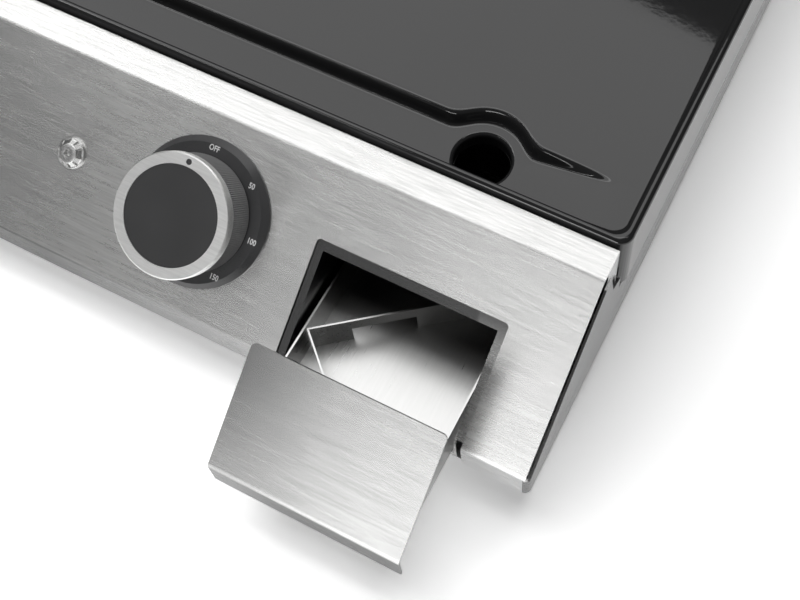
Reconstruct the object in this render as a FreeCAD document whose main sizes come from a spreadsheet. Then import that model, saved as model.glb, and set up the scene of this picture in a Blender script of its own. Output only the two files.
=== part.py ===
"""Electric plancha: enamelled griddle plate on a sheet steel body.

The body has a sloping control fascia with a thermostat dial and a lamp, and a grease drawer
below the drain hole. The drawer is modelled drawn part way out and the dial at OFF.

Frame: +X to the right, +Y to the back, +Z up, in millimetres. The origin is on the floor, under
the middle of the whole part. Each piece is drawn with Y counted from the outer face of the
fascia's lip, and its placement then moves it to the frame.
"""
import FreeCAD, Part
import math
import os
import re
import Sketcher

SIZES = {
    # fascia: lip, sloping panel and level strip, one bent sheet
    "panel_width": 439.0,
    "panel_slope": 36.0,
    "panel_length": 81.2,
    "strip_depth": 13.0,
    "lip_height": 15.5,
    "return_height": 12.0,
    "fascia_wall": 1.0,
    "fold_radius": 2.4,
    "lip_fold_radius": 1.6,
    "tab_height": 26.0,
    # cheeks, rear panel and base
    "cheek_gap": 0.75,
    "cheek_wall": 0.95,
    "cheek_set": 0.8,
    "cheek_corner": 2.8,
    "corner_drop": 1.6,
    "cheek_ledge": 12.0,
    "notch_height": 17.3,
    "notch_rake": 3.9,
    "notch_drop": 3.2,
    "seam": 0.3,
    "rear_wall": 1.0,
    "rear_ledge": 14.0,
    "base_wall": 1.0,
    "vent_width": 4.0,
    "vent_length": 60.0,
    "vent_pitch": 12.0,
    "vent_count": 8.0,
    "rear_vent_length": 16.0,
    "rear_vent_inset": 60.0,
    # feet and screws
    "foot_height": 20.0,
    "foot_diameter": 30.0,
    "foot_top_diameter": 24.0,
    "foot_inset": 18.5,
    "foot_setback": 45.0,
    "foot_recess": 11.0,
    "foot_recess_diameter": 14.0,
    "screw_diameter": 5.0,
    "screw_head_diameter": 9.0,
    "screw_head_height": 2.6,
    "screw_reach": 8.0,
    "nut_flats": 8.0,
    "nut_height": 3.2,
    "base_screw_diameter": 4.0,
    "base_screw_head": 7.2,
    "base_screw_inset": 8.0,
    "base_screw_pitch": 120.0,
    "hole_play": 0.3,
    # griddle plate
    "plate_gap": 0.7,
    "plate_overhang": 1.1,
    "plate_depth": 400.0,
    "plate_rise": 4.0,
    "plate_corner": 6.0,
    "rim_width": 3.7,
    "rim_height": 4.2,
    "rim_round": 1.6,
    "slab_wall": 6.0,
    "skirt_height": 34.0,
    "skirt_wall": 4.0,
    "skirt_return": 16.0,
    "gutter_width": 26.5,
    "gutter_drop": 6.0,
    "gutter_run": 2.2,
    "gutter_end": 15.0,
    "gutter_ramp": 35.0,
    "drain_inset": 65.0,
    "drain_setback": 15.6,
    "drain_diameter": 22.6,
    "drain_lip": 2.0,
    "drain_bulge": 19.3,
    "spout_wall": 1.5,
    "spout_length": 22.0,
    "spout_play": 0.6,
    # heater under the plate
    "element_diameter": 8.0,
    "element_margin": 58.5,
    "run_count": 6.0,
    "element_setback": 58.0,
    "element_rear_gap": 62.0,
    "element_seat": 0.2,
    "cold_end": 26.0,
    "pin_diameter": 4.0,
    "pin_length": 12.0,
    "bar_width": 18.0,
    "bar_wall": 2.0,
    "bar_spread": 220.0,
    "bar_end": 14.0,
    "stud_diameter": 6.0,
    "stud_reach": 10.0,
    "stud_nut_flats": 10.0,
    "stud_nut_height": 5.0,
    "ledge_stud_inset": 8.5,
    "ledge_stud_setback": 60.0,
    "shield_width": 380.0,
    "shield_height": 24.0,
    "shield_wall": 0.8,
    "shield_setback": 74.0,
    "shield_rear_gap": 30.0,
    "shield_foot": 12.0,
    # thermostat and dial
    "knob_inset": 158.9,
    "control_line": 41.2,
    "shaft_diameter": 6.0,
    "shaft_play": 0.05,
    "shaft_hole": 10.0,
    "shaft_inside": 14.0,
    "thermostat_width": 40.0,
    "thermostat_height": 32.0,
    "thermostat_depth": 26.0,
    "thermostat_screw_spread": 28.0,
    "thermostat_screw_diameter": 4.0,
    "thermostat_screw_head": 6.0,
    "bulb_diameter": 6.0,
    "bulb_length": 90.0,
    "capillary_diameter": 1.6,
    "capillary_bend": 8.0,
    "capillary_drop": 17.0,
    "bezel_diameter": 61.0,
    "bezel_face": 56.2,
    "bezel_height": 3.5,
    "bezel_edge": 1.0,
    "bezel_bore": 36.0,
    "knob_gap": 0.8,
    "knob_height": 22.4,
    "knob_base_diameter": 47.4,
    "knob_top_diameter": 47.0,
    "knob_wall": 2.2,
    "hub_diameter": 14.0,
    "socket_depth": 11.5,
    "ring_diameter": 49.0,
    "ring_height": 4.2,
    "ring_chamfer": 0.5,
    "disc_diameter": 39.6,
    "disc_sink": 0.3,
    "disc_play": 0.05,
    "pointer_diameter": 2.4,
    "pointer_depth": 0.6,
    # lamp
    "lamp_inset": 220.5,
    "lamp_hole": 10.0,
    "lens_diameter": 12.8,
    "lens_flange": 1.2,
    "lens_height": 4.6,
    "lens_top_diameter": 7.4,
    "lens_dimple": 3.4,
    "lens_dimple_depth": 0.8,
    "lamp_play": 0.1,
    "lamp_length": 26.0,
    "lamp_clip_diameter": 16.0,
    "lamp_clip_wall": 1.4,
    # grease drawer and its sleeve
    "opening_inset": 67.8,
    "opening_width": 82.0,
    "opening_length": 51.6,
    "opening_corner": 1.8,
    "sleeve_band": 3.5,
    "sleeve_top_band": 4.3,
    "sleeve_lap": 6.0,
    "sleeve_wall": 0.8,
    "sleeve_depth": 138.0,
    "drawer_out": 47.0,
    "drawer_gap": 0.5,
    "drawer_top_gap": 0.8,
    "drawer_corner": 2.0,
    "tray_width": 71.6,
    "tray_depth": 118.0,
    "tray_height": 18.0,
    "tray_wall": 0.8,
    "tray_play": 0.3,
    "baffle_setback": 62.6,
    "baffle_wall": 0.7,
    "baffle_height": 16.8,
    "baffle_turn_angle": 38.0,
    "baffle_angle": 80.0,
    "baffle_long": 76.0,
    "baffle_short": 40.0,
    "baffle_side_gap": 0.4,
    "flow_slot_start": 17.0,
    "flow_slot_length": 26.0,
    "flow_slot_height": 10.0,
    # mains connection at the back
    "gland_inset": 73.0,
    "gland_level": 18.0,
    "gland_thread": 20.0,
    "gland_inside": 12.0,
    "gland_flats": 24.0,
    "gland_flange": 6.0,
    "gland_neck": 18.0,
    "gland_neck_length": 8.0,
    "gland_bore": 11.0,
    "gland_reach": 20.0,
    "gland_cap_top": 2.0,
    "gland_cap_bore": 10.4,
    "gland_play": 0.1,
    "locknut_height": 5.0,
    "seal_bore": 9.0,
    "seal_length": 12.0,
    "block_width": 46.0,
    "block_depth": 22.0,
    "block_height": 18.0,
    "block_ways": 3.0,
    "block_well": 6.0,
    "block_well_depth": 8.0,
    "block_setback": 52.0,
}

PLACES = {
    "half_width": "panel_width / 2 + cheek_gap + cheek_wall",
    "plate_half": "half_width + plate_overhang",
    "foot_x": "half_width - foot_inset",
    "base_screw_x": "half_width - cheek_wall - base_screw_inset",
    "ledge_stud_x": "half_width - cheek_wall - ledge_stud_inset",
    "fold_z": "foot_height + lip_height",
    "corner_top_z": "fold_z - corner_drop",
    "corner_x": "half_width - cheek_corner",
    "strip_y": "panel_length * cos(panel_slope)",
    "strip_z": "fold_z + panel_length * sin(panel_slope)",
    "strip_rear_y": "strip_y + strip_depth",
    "strip_flat_y": "strip_y + fold_radius + seam",
    "inner_fold_z": "fold_z + fascia_wall * tan(panel_slope) - fascia_wall / cos(panel_slope)",
    "inner_strip_y": "(strip_z - fascia_wall - fold_z + fascia_wall / cos(panel_slope)) / tan(panel_slope)",
    "base_top_z": "foot_height + base_wall",
    "plate_y": "strip_rear_y + plate_gap",
    "rear_y": "plate_y + plate_depth",
    "rim_z": "strip_z + plate_rise",
    "cook_z": "rim_z - rim_height",
    "gutter_z": "cook_z - gutter_drop",
    "slab_z": "cook_z - slab_wall",
    "gutter_slab_z": "gutter_z - slab_wall",
    "skirt_z": "rim_z - skirt_height",
    "gutter_y": "plate_y + gutter_width",
    "gutter_x": "plate_half - gutter_end",
    "drain_x": "panel_width / 2 - drain_inset",
    "drain_y": "plate_y + drain_setback",
    "drawer_x": "panel_width / 2 - opening_inset",
    "knob_x": "panel_width / 2 - knob_inset",
    "lamp_x": "panel_width / 2 - lamp_inset",
    "gland_x": "half_width - gland_inset",
    "front_length": "opening_length - drawer_top_gap",
    "sleeve_inner": "opening_width - 2 * sleeve_band",
    "sleeve_length": "opening_length - sleeve_top_band",
    "sleeve_floor_z": "base_top_z + sleeve_wall",
    "sleeve_roof_z": "fold_z + sleeve_length * sin(panel_slope) - fascia_wall * cos(panel_slope)",
    "tray_z": "sleeve_floor_z + tray_play",
    "tray_top_z": "tray_z + tray_height",
    "tray_floor_z": "tray_z + tray_wall",
    "element_span": "2 * (half_width - element_margin)",
    "element_pitch": "(plate_depth - element_setback - element_rear_gap) / (run_count - 1)",
    "shield_depth": "plate_depth - shield_setback - shield_rear_gap",
    "element_z": "slab_z - element_seat - element_diameter / 2",
    "element_y": "plate_y + element_setback",
    "bar_z": "slab_z - 2 * element_seat - element_diameter - bar_wall",
    "bulb_y": "element_y + element_pitch / 2",
    "bulb_z": "slab_z - element_seat - bulb_diameter / 2",
    "capillary_z": "bulb_z - capillary_drop",
    "control_y": "control_line * cos(panel_slope)",
    "control_z": "fold_z + control_line * sin(panel_slope)",
    "capillary_end_y": "control_y + thermostat_height / 2 / cos(panel_slope) + seam"
                       " + (control_z - capillary_z + capillary_diameter / 2) * tan(panel_slope)",
    "knob_base": "bezel_height + knob_gap",
    "knob_top": "knob_height - ring_height",
    "centre_y": "(rear_y + gland_reach - drawer_out) / 2",
}

GROUPS = ("thermostat_screws", "clamp_bars", "plate_studs", "stud_nuts", "foot_screws", "foot_nuts",
          "base_screws")

document = FreeCAD.newDocument("plancha")
sheet = document.addObject("Spreadsheet::Sheet", "Sizes")
for row, (alias, number) in enumerate(SIZES.items(), start=1):
    sheet.set(f"A{row}", str(number))
    sheet.setAlias(f"A{row}", alias)
document.recompute()

subparts = []


def bind(text):
    """Turn a formula of named sizes and places into an expression on the sheet."""
    def word(match):
        name = match.group(0)
        if name in SIZES:
            return "Sizes." + name
        if name in PLACES:
            return "(" + bind(PLACES[name]) + ")"
        return name
    return re.sub(r"[A-Za-z_]\w*", word, text)


def value(text):
    """The present value of a formula."""
    return float(sheet.evalExpression(bind(text)))


def place(piece, x="0", y="0", z="0", turn=None, axis=(1, 0, 0)):
    """Bind a piece's placement: Y is counted from the lip's face, turn is about the given axis."""
    if turn is not None:
        rotation = FreeCAD.Rotation(FreeCAD.Vector(*axis), 1)
        piece.Placement = FreeCAD.Placement(FreeCAD.Vector(), rotation)
        piece.setExpression("Placement.Rotation.Angle", bind(turn))
    piece.setExpression("Placement.Base.x", bind(x))
    piece.setExpression("Placement.Base.y", bind(f"{y} - centre_y"))
    piece.setExpression("Placement.Base.z", bind(z))


def place_on_panel(piece, x, along="control_line"):
    """Stand a piece on the sloping panel: its own +Z is the panel's outward normal."""
    place(piece, x, f"{along} * cos(panel_slope)", f"fold_z + {along} * sin(panel_slope)", "panel_slope")


def keep(piece, name):
    """Give a finished piece its name and put it on the list that is written out."""
    piece.Label = name
    subparts.append(piece)
    return piece


def body(name):
    """A new body, placed in the frame and listed for writing."""
    made = document.addObject("PartDesign::Body", name)
    place(made)
    return keep(made, name)


def sketch_on(owner, role, offset="0", shift="0", tilt=None, tilt_base=("0", "0")):
    """An empty sketch on one of the body's own planes, moved along its normal and its own x, or tilted."""
    sketch = owner.newObject("Sketcher::SketchObject", "Sketch")
    support = next(plane for plane in owner.Origin.OriginFeatures if plane.Role == role)
    sketch.AttachmentSupport = [(support, "")]
    sketch.MapMode = "FlatFace"
    if tilt is None:
        sketch.setExpression("AttachmentOffset.Base.x", bind(shift))
        sketch.setExpression("AttachmentOffset.Base.z", bind(offset))
        return sketch
    rotation = FreeCAD.Rotation(FreeCAD.Vector(1, 0, 0), 1)
    sketch.AttachmentOffset = FreeCAD.Placement(FreeCAD.Vector(), rotation)
    sketch.setExpression("AttachmentOffset.Rotation.Angle", bind(tilt))
    sketch.setExpression("AttachmentOffset.Base.y", bind(tilt_base[0]))
    sketch.setExpression("AttachmentOffset.Base.z", bind(tilt_base[1]))
    return sketch


def pin_point(sketch, edge, end, point):
    """Fix a point of a sketch by bound distances from the sketch's origin; None leaves one free."""
    for kind, text in zip(("DistanceX", "DistanceY"), point):
        if text is None:
            continue
        made = sketch.addConstraint(Sketcher.Constraint(kind, -1, 1, edge, end, value(text)))
        sketch.setExpression(f"Constraints[{made}]", bind(text))


def outline(sketch, points, arcs=None):
    """Draw a closed outline; arcs maps an edge's number to its centre and a point it passes."""
    arcs = arcs or {}
    spots = [FreeCAD.Vector(value(x), value(y), 0) for x, y in points]
    first = {}
    for index, start in enumerate(spots):
        end = spots[(index + 1) % len(spots)]
        if index in arcs:
            centre, middle = (FreeCAD.Vector(value(x), value(y), 0) for x, y in arcs[index])
            sketch.addGeometry(arc_about(centre, start, middle, end))
        else:
            sketch.addGeometry(Part.LineSegment(start, end))
        first[index] = first_end(sketch, index, start, end)
    for index in range(len(spots)):
        following = (index + 1) % len(spots)
        joint = Sketcher.Constraint("Coincident", index, 3 - first[index], following, first[following])
        sketch.addConstraint(joint)
    for index, point in enumerate(points):
        pin_point(sketch, index, first[index], point)
    for index, (centre, _) in arcs.items():
        chord = spots[(index + 1) % len(spots)] - spots[index]
        pin_point(sketch, index, 3, (centre[0], None) if abs(chord.y) > abs(chord.x) else (None, centre[1]))
    return sketch


def arc_about(centre, start, middle, end):
    """An anticlockwise arc between two points about a centre, on the side of the middle point."""
    angles = [math.atan2(point.y - centre.y, point.x - centre.x) for point in (start, middle, end)]
    to_middle, to_end = ((angle - angles[0]) % (2 * math.pi) for angle in angles[1:])
    low, high = (angles[0], angles[2]) if to_middle < to_end else (angles[2], angles[0])
    ring = Part.Circle(centre, FreeCAD.Vector(0, 0, 1), (start - centre).Length)
    return Part.ArcOfCircle(ring, low, high if high > low else high + 2 * math.pi)


def first_end(sketch, edge, start, end):
    """Which stored end of an edge is its start: 1, or 2 for an arc kept the other way round."""
    stored = sketch.Geometry[edge].StartPoint
    return 1 if (stored - start).Length < (stored - end).Length else 2


def rectangle(sketch, left, right, low, high):
    """Draw a rectangle."""
    return outline(sketch, [(left, low), (right, low), (right, high), (left, high)])


def circle(sketch, x, y, diameter):
    """Draw a circle."""
    made = Part.Circle(FreeCAD.Vector(value(x), value(y), 0), FreeCAD.Vector(0, 0, 1), value(diameter) / 2)
    edge = sketch.addGeometry(made)
    pin_point(sketch, edge, 3, (x, y))
    size = sketch.addConstraint(Sketcher.Constraint("Diameter", edge, value(diameter)))
    sketch.setExpression(f"Constraints[{size}]", bind(diameter))
    return sketch


def hexagon(sketch, flats):
    """Draw a hexagon about the sketch's origin from its width across flats."""
    corners = [(f"{flats} / sqrt(3) * cos({60 * k})", f"{flats} / sqrt(3) * sin({60 * k})") for k in range(6)]
    return outline(sketch, corners)


def pad(owner, sketch, length, side="One side", reverse=False):
    """Pad a sketch."""
    made = owner.newObject("PartDesign::Pad", "Pad")
    made.Profile = sketch
    made.SideType = side
    made.Reversed = reverse
    made.setExpression("Length", bind(length))
    document.recompute()
    return made


def pocket(owner, sketch, length=None, side="One side", reverse=False):
    """Cut a sketch to a length, or right through; a cut that takes nothing is an error."""
    before = owner.Shape.Volume
    made = owner.newObject("PartDesign::Pocket", "Pocket")
    made.Profile = sketch
    made.SideType = side
    made.Reversed = reverse
    if length is None:
        made.Type = "ThroughAll"
    else:
        made.setExpression("Length", bind(length))
    document.recompute()
    if made.Shape.Volume >= before - 1e-6:
        raise RuntimeError(f"{owner.Label}: a pocket cut nothing")
    return made


def turned(owner, points, arcs=None):
    """Revolve a half profile, drawn on the XZ plane, about the body's own Z axis."""
    profile = outline(sketch_on(owner, "XZ_Plane"), points, arcs)
    made = owner.newObject("PartDesign::Revolution", "Revolution")
    made.Profile = profile
    made.ReferenceAxis = (profile, ["V_Axis"])
    made.Angle = 360
    document.recompute()
    return made


def fillet(owner, radius, chosen):
    """Round the edges that the test picks from the body's present shape."""
    names = [f"Edge{k}" for k, edge in enumerate(owner.Shape.Edges, start=1) if chosen(edge)]
    if not names:
        raise RuntimeError(f"{owner.Label}: no edge to round")
    made = owner.newObject("PartDesign::Fillet", "Fillet")
    made.Base = (owner.Tip if owner.Tip is not made else made.BaseFeature, names)
    made.setExpression("Radius", bind(radius))
    document.recompute()
    return made


def runs_along_x(y, z):
    """A test for edges along X at one place of the profile, in the body's own coordinates."""
    spot = FreeCAD.Vector(0, value(f"{y} - centre_y"), value(z))

    def test(edge):
        ends = [vertex.Point for vertex in edge.Vertexes]
        return all(abs(end.y - spot.y) < 0.02 and abs(end.z - spot.z) < 0.02 for end in ends)
    return test


def pattern(owner, feature, sketch, axis, spacing, count):
    """Repeat a feature in a row along one axis of its sketch."""
    made = owner.newObject("PartDesign::LinearPattern", "Row")
    made.Originals = [feature]
    made.Direction = (sketch, [axis])
    made.setExpression("Length", bind(f"({spacing}) * ({count} - 1)"))
    made.setExpression("Occurrences", bind(count))
    owner.Tip = made
    document.recompute()
    return made


def cylinder(diameter, height, x="0", y="0", z="0", turn=None, axis=(1, 0, 0)):
    """A bound cylinder that stands on the given point."""
    made = document.addObject("Part::Cylinder", "Cylinder")
    made.setExpression("Radius", bind(f"({diameter}) / 2"))
    made.setExpression("Height", bind(height))
    place(made, x, y, z, turn, axis)
    return made


def prism(flats, height, x="0", y="0", z="0"):
    """A bound hexagonal prism that stands on the given point."""
    made = document.addObject("Part::Prism", "Prism")
    made.Polygon = 6
    made.setExpression("Circumradius", bind(f"({flats}) / sqrt(3)"))
    made.setExpression("Height", bind(height))
    place(made, x, y, z)
    return made


def fuse(*shapes):
    """Join shapes into one solid."""
    made = document.addObject("Part::MultiFuse", "Fuse")
    made.Shapes = list(shapes)
    return made


def cut(base, tool):
    """Take one shape from another."""
    made = document.addObject("Part::Cut", "Cut")
    made.Base = base
    made.Tool = tool
    return made


def group(name, members):
    """Several like solids in one node."""
    made = document.addObject("Part::Compound", name)
    made.Links = members
    return keep(made, name)


def bent_profile(length):
    """The lip and the sloping panel up to a length, as outer and inner points of the sheet."""
    slope_top = (f"({length}) * cos(panel_slope)", f"fold_z + ({length}) * sin(panel_slope)")
    outer = [("0", "foot_height"), ("0", "fold_z"), slope_top]
    inner = [("fascia_wall", "inner_fold_z"), ("fascia_wall", "foot_height")]
    return outer, inner


def make_front_fascia():
    """One bent sheet: lip, sloping panel, level strip and return, with a tab folded at each end."""
    fascia = body("front_fascia")
    outer, inner = bent_profile("panel_length")
    back = [("strip_rear_y", "strip_z"), ("strip_rear_y", "strip_z - return_height"),
            ("strip_rear_y - fascia_wall", "strip_z - return_height"),
            ("strip_rear_y - fascia_wall", "strip_z - fascia_wall"),
            ("inner_strip_y", "strip_z - fascia_wall")]
    pad(fascia, outline(sketch_on(fascia, "YZ_Plane"), outer + back + inner), "panel_width", "Symmetric")
    fillet(fascia, "fold_radius + fascia_wall", runs_along_x("strip_y", "strip_z"))
    fillet(fascia, "fold_radius", runs_along_x("inner_strip_y", "strip_z - fascia_wall"))
    fillet(fascia, "lip_fold_radius + fascia_wall", runs_along_x("0", "fold_z"))
    fillet(fascia, "lip_fold_radius", runs_along_x("fascia_wall", "inner_fold_z"))
    for tab_x in ("panel_width / 2 - fascia_wall", "-panel_width / 2"):
        tab = rectangle(sketch_on(fascia, "YZ_Plane", tab_x), "strip_flat_y", "strip_rear_y",
                        "strip_z - tab_height", "strip_z")
        pad(fascia, tab, "fascia_wall")
    for left, right in (("corner_x", "half_width"), ("-half_width", "-corner_x")):
        lip_end = rectangle(sketch_on(fascia, "XZ_Plane"), left, right, "foot_height", "corner_top_z + seam")
        pocket(fascia, lip_end, "fascia_wall")
    opening = rectangle(panel_sketch(fascia), "drawer_x - opening_width / 2", "drawer_x + opening_width / 2",
                        "-lip_height", "opening_length")
    pocket(fascia, opening)
    fillet(fascia, "opening_corner", at_panel_corners("opening_width", "opening_length"))
    holes = panel_sketch(fascia)
    circle(holes, "knob_x", "control_line", "shaft_hole")
    circle(holes, "lamp_x", "control_line", "lamp_hole")
    for side in ("-", "+"):
        circle(holes, f"knob_x {side} thermostat_screw_spread / 2", "control_line",
               "thermostat_screw_diameter + hole_play")
    pocket(fascia, holes)


def panel_sketch(owner, sink="0"):
    """A sketch in the panel's plane: x across, y up the slope from the lip's fold."""
    return sketch_on(owner, "XY_Plane", tilt="panel_slope",
                     tilt_base=(f"({sink}) * sin(panel_slope)", f"fold_z - ({sink}) * cos(panel_slope)"))


def at_panel_corners(width, length):
    """A test for the short edges through the sheet at the two upper corners of a panel cut."""
    slope = FreeCAD.Vector(0, value("cos(panel_slope)"), value("sin(panel_slope)"))
    fold = FreeCAD.Vector(0, value("-centre_y"), value("fold_z"))

    def test(edge):
        middle = (edge.Vertexes[0].Point + edge.Vertexes[-1].Point) * 0.5
        off_centre = abs(abs(middle.x - value("drawer_x")) - value(width) / 2)
        off_top = abs((middle - fold).dot(slope) - value(length))
        return off_centre < 0.02 and off_top < 0.02 and abs(edge.Length - value("fascia_wall")) < 0.02
    return test


def make_cheek(name, side):
    """An end plate that follows the fascia's outline and bends round to meet its lip.

    It has a ledge for the griddle and a flange for the base.
    """
    cheek = body(name)
    front = [("cheek_corner", "foot_height"), ("cheek_corner", "corner_top_z"), ("cheek_set", "corner_top_z"),
             ("cheek_set", "fold_z + cheek_set * tan(panel_slope) - cheek_set / cos(panel_slope)"),
             ("strip_y - fold_radius", "strip_z - (fold_radius + seam) * tan(panel_slope)"
              " - cheek_set / cos(panel_slope)")]
    notch = [("strip_y + fold_radius - seam", "strip_z - fascia_wall - seam"),
             ("strip_y + fold_radius + notch_rake - seam", "strip_z - notch_height - seam"),
             ("strip_rear_y", "strip_z - notch_height - notch_drop - seam"),
             ("plate_y - seam", "strip_z - notch_height - notch_drop - seam"),
             ("plate_y - seam", "skirt_z")]
    back = [("rear_y", "skirt_z"), ("rear_y", "foot_height")]
    outer_x = "half_width - cheek_wall" if side > 0 else "-half_width"
    pad(cheek, outline(sketch_on(cheek, "YZ_Plane", outer_x), front + notch + back), "cheek_wall")
    centre = (f"{side} * corner_x", "cheek_corner")
    outside = "cheek_corner * sqrt(0.5)"
    inside = "(cheek_corner - cheek_wall) * sqrt(0.5)"
    bend = [(f"{side} * half_width", "cheek_corner"), (f"{side} * corner_x", "0"),
            (f"{side} * corner_x", "cheek_wall"), (f"{side} * (half_width - cheek_wall)", "cheek_corner")]
    arcs = {0: (centre, (f"{side} * (corner_x + {outside})", f"cheek_corner - {outside}")),
            2: (centre, (f"{side} * (corner_x + {inside})", f"cheek_corner - {inside}"))}
    pad(cheek, outline(sketch_on(cheek, "XY_Plane", "foot_height"), bend, arcs), "corner_top_z - foot_height")
    inner_x = "half_width - cheek_wall - cheek_ledge" if side > 0 else "-half_width + cheek_wall"
    ledge = rectangle(sketch_on(cheek, "YZ_Plane", inner_x), "plate_y + skirt_return", "rear_y - rear_ledge",
                      "skirt_z - cheek_wall", "skirt_z")
    pad(cheek, ledge, "cheek_ledge")
    flange = rectangle(sketch_on(cheek, "YZ_Plane", inner_x), "plate_y", "rear_y - rear_ledge",
                       "base_top_z", "base_top_z + cheek_wall")
    pad(cheek, flange, "cheek_ledge")
    holes = sketch_on(cheek, "XY_Plane", "base_top_z + cheek_wall")
    for y in base_screw_rows():
        circle(holes, f"{side} * base_screw_x", y, "base_screw_diameter + hole_play")
    pocket(cheek, holes, "2 * cheek_wall")
    stud_holes = sketch_on(cheek, "XY_Plane", "skirt_z")
    for y in ledge_stud_rows():
        circle(stud_holes, f"{side} * ledge_stud_x", y, "stud_diameter + 2 * hole_play")
    pocket(cheek, stud_holes, "2 * cheek_wall")


def base_screw_rows():
    """Where the base's screws stand along the depth."""
    return [f"plate_y + plate_depth / 2 + ({step}) * base_screw_pitch" for step in (-1, 0, 1)]


def ledge_stud_rows():
    """Where the studs that hold the griddle to the ledges stand along the depth."""
    return ["plate_y + ledge_stud_setback", "rear_y - ledge_stud_setback"]


def foot_rows():
    """Where the feet stand along the depth."""
    return {"front": "foot_setback", "rear": "rear_y - foot_setback"}


def make_rear_panel():
    """The back wall, with a ledge under the griddle, a foot flange, a gland hole and vents."""
    panel = body("rear_panel")
    inside = "2 * (half_width - cheek_wall - seam)"
    wall = rectangle(sketch_on(panel, "YZ_Plane"), "rear_y - rear_wall", "rear_y", "foot_height", "skirt_z")
    pad(panel, wall, inside, "Symmetric")
    for low in ("skirt_z - rear_wall", "base_top_z"):
        flange = rectangle(sketch_on(panel, "YZ_Plane"), "rear_y - rear_ledge", "rear_y - rear_wall",
                           low, f"{low} + rear_wall")
        pad(panel, flange, inside + " - 2 * seam", "Symmetric")
    hole = sketch_on(panel, "XZ_Plane", "-rear_y")
    circle(hole, "gland_x", "foot_height + gland_level", "gland_thread + hole_play")
    pocket(panel, hole, "2 * rear_wall", reverse=True)
    vent = sketch_on(panel, "XZ_Plane", "-rear_y")
    middle = "(foot_height + skirt_z) / 2"
    rectangle(vent, "-half_width + rear_vent_inset", "-half_width + rear_vent_inset + vent_width",
              f"{middle} - rear_vent_length / 2", f"{middle} + rear_vent_length / 2")
    slot = pocket(panel, vent, "2 * rear_wall", reverse=True)
    pattern(panel, slot, vent, "H_Axis", "vent_pitch", "vent_count")


def make_base_plate():
    """The floor sheet, with holes for the feet and screws and a row of vents."""
    base = body("base_plate")
    edge_x = "half_width - cheek_wall - seam"
    floor = rectangle(sketch_on(base, "XY_Plane", "foot_height"), f"-({edge_x})", edge_x,
                      "fascia_wall + seam", "rear_y - rear_wall - seam")
    pad(base, floor, "base_wall")
    front_y = value("fascia_wall + seam - centre_y")
    fillet(base, "cheek_corner - cheek_wall", lambda edge: abs(edge.Length - value("base_wall")) < 0.01
           and abs(edge.CenterOfMass.y - front_y) < 0.01)
    holes = sketch_on(base, "XY_Plane", "base_top_z")
    for side in ("-1", "1"):
        for y in foot_rows().values():
            circle(holes, f"{side} * foot_x", y, "screw_diameter + hole_play")
        for y in base_screw_rows():
            circle(holes, f"{side} * base_screw_x", y, "base_screw_diameter + hole_play")
    pocket(base, holes, "2 * base_wall")
    vent = sketch_on(base, "XY_Plane", "base_top_z")
    row_start = "plate_y + plate_depth / 2 - vent_pitch * (vent_count - 1) / 2"
    rectangle(vent, "-vent_length / 2", "vent_length / 2", row_start, f"{row_start} + vent_width")
    slot = pocket(base, vent, "2 * base_wall")
    pattern(base, slot, vent, "V_Axis", "vent_pitch", "vent_count")


def make_cooking_plate():
    """The griddle: raised rim, skirt, front gutter that bows round the drain, flared drain hole."""
    plate = body("cooking_plate")
    block = rectangle(sketch_on(plate, "XY_Plane", "skirt_z"), "-plate_half", "plate_half", "plate_y",
                      "rear_y")
    pad(plate, block, "skirt_height")
    fillet(plate, "plate_corner", lambda edge: abs(edge.Length - value("skirt_height")) < 0.01)
    well = rectangle(sketch_on(plate, "XY_Plane", "rim_z"), "-plate_half + rim_width",
                     "plate_half - rim_width", "plate_y + rim_width", "rear_y - rim_width")
    pocket(plate, well, "rim_height")
    fillet(plate, "plate_corner - rim_round", lambda edge: abs(edge.Length - value("rim_height")) < 0.01)
    for front, ceiling in (("plate_y + skirt_wall", "gutter_slab_z"), ("gutter_y + slab_wall", "slab_z")):
        cavity = rectangle(sketch_on(plate, "XY_Plane", "skirt_z"), "-plate_half + skirt_wall",
                           "plate_half - skirt_wall", front, "rear_y - skirt_wall")
        pocket(plate, cavity, f"{ceiling} - skirt_z", reverse=True)
    front_gap = rectangle(sketch_on(plate, "XZ_Plane", "-plate_y"), "-plate_half + skirt_return",
                          "plate_half - skirt_return", "skirt_z", "gutter_slab_z")
    pocket(plate, front_gap, "skirt_wall")
    cut_gutter(plate)
    bore_x = "drain_diameter / 2"
    drain = outline(sketch_on(plate, "XZ_Plane", "-drain_y", "drain_x"), [
        ("0", "gutter_slab_z"), (bore_x, "gutter_slab_z"), (bore_x, "gutter_z - drain_lip"),
        (f"{bore_x} + drain_lip", "gutter_z"), ("0", "gutter_z")],
        {2: ((f"{bore_x} + drain_lip", "gutter_z - drain_lip"),
             (f"{bore_x} + drain_lip * (1 - sqrt(0.5))", "gutter_z - drain_lip * (1 - sqrt(0.5))"))})
    before = plate.Shape.Volume
    bore = plate.newObject("PartDesign::Groove", "Drain")
    bore.Profile = drain
    bore.ReferenceAxis = (drain, ["V_Axis"])
    bore.Angle = 360
    document.recompute()
    if plate.Shape.Volume >= before:
        raise RuntimeError("the drain cut nothing")
    top = value("rim_z")
    fillet(plate, "rim_round", lambda edge: all(abs(v.Point.z - top) < 0.01 for v in edge.Vertexes))


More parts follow.
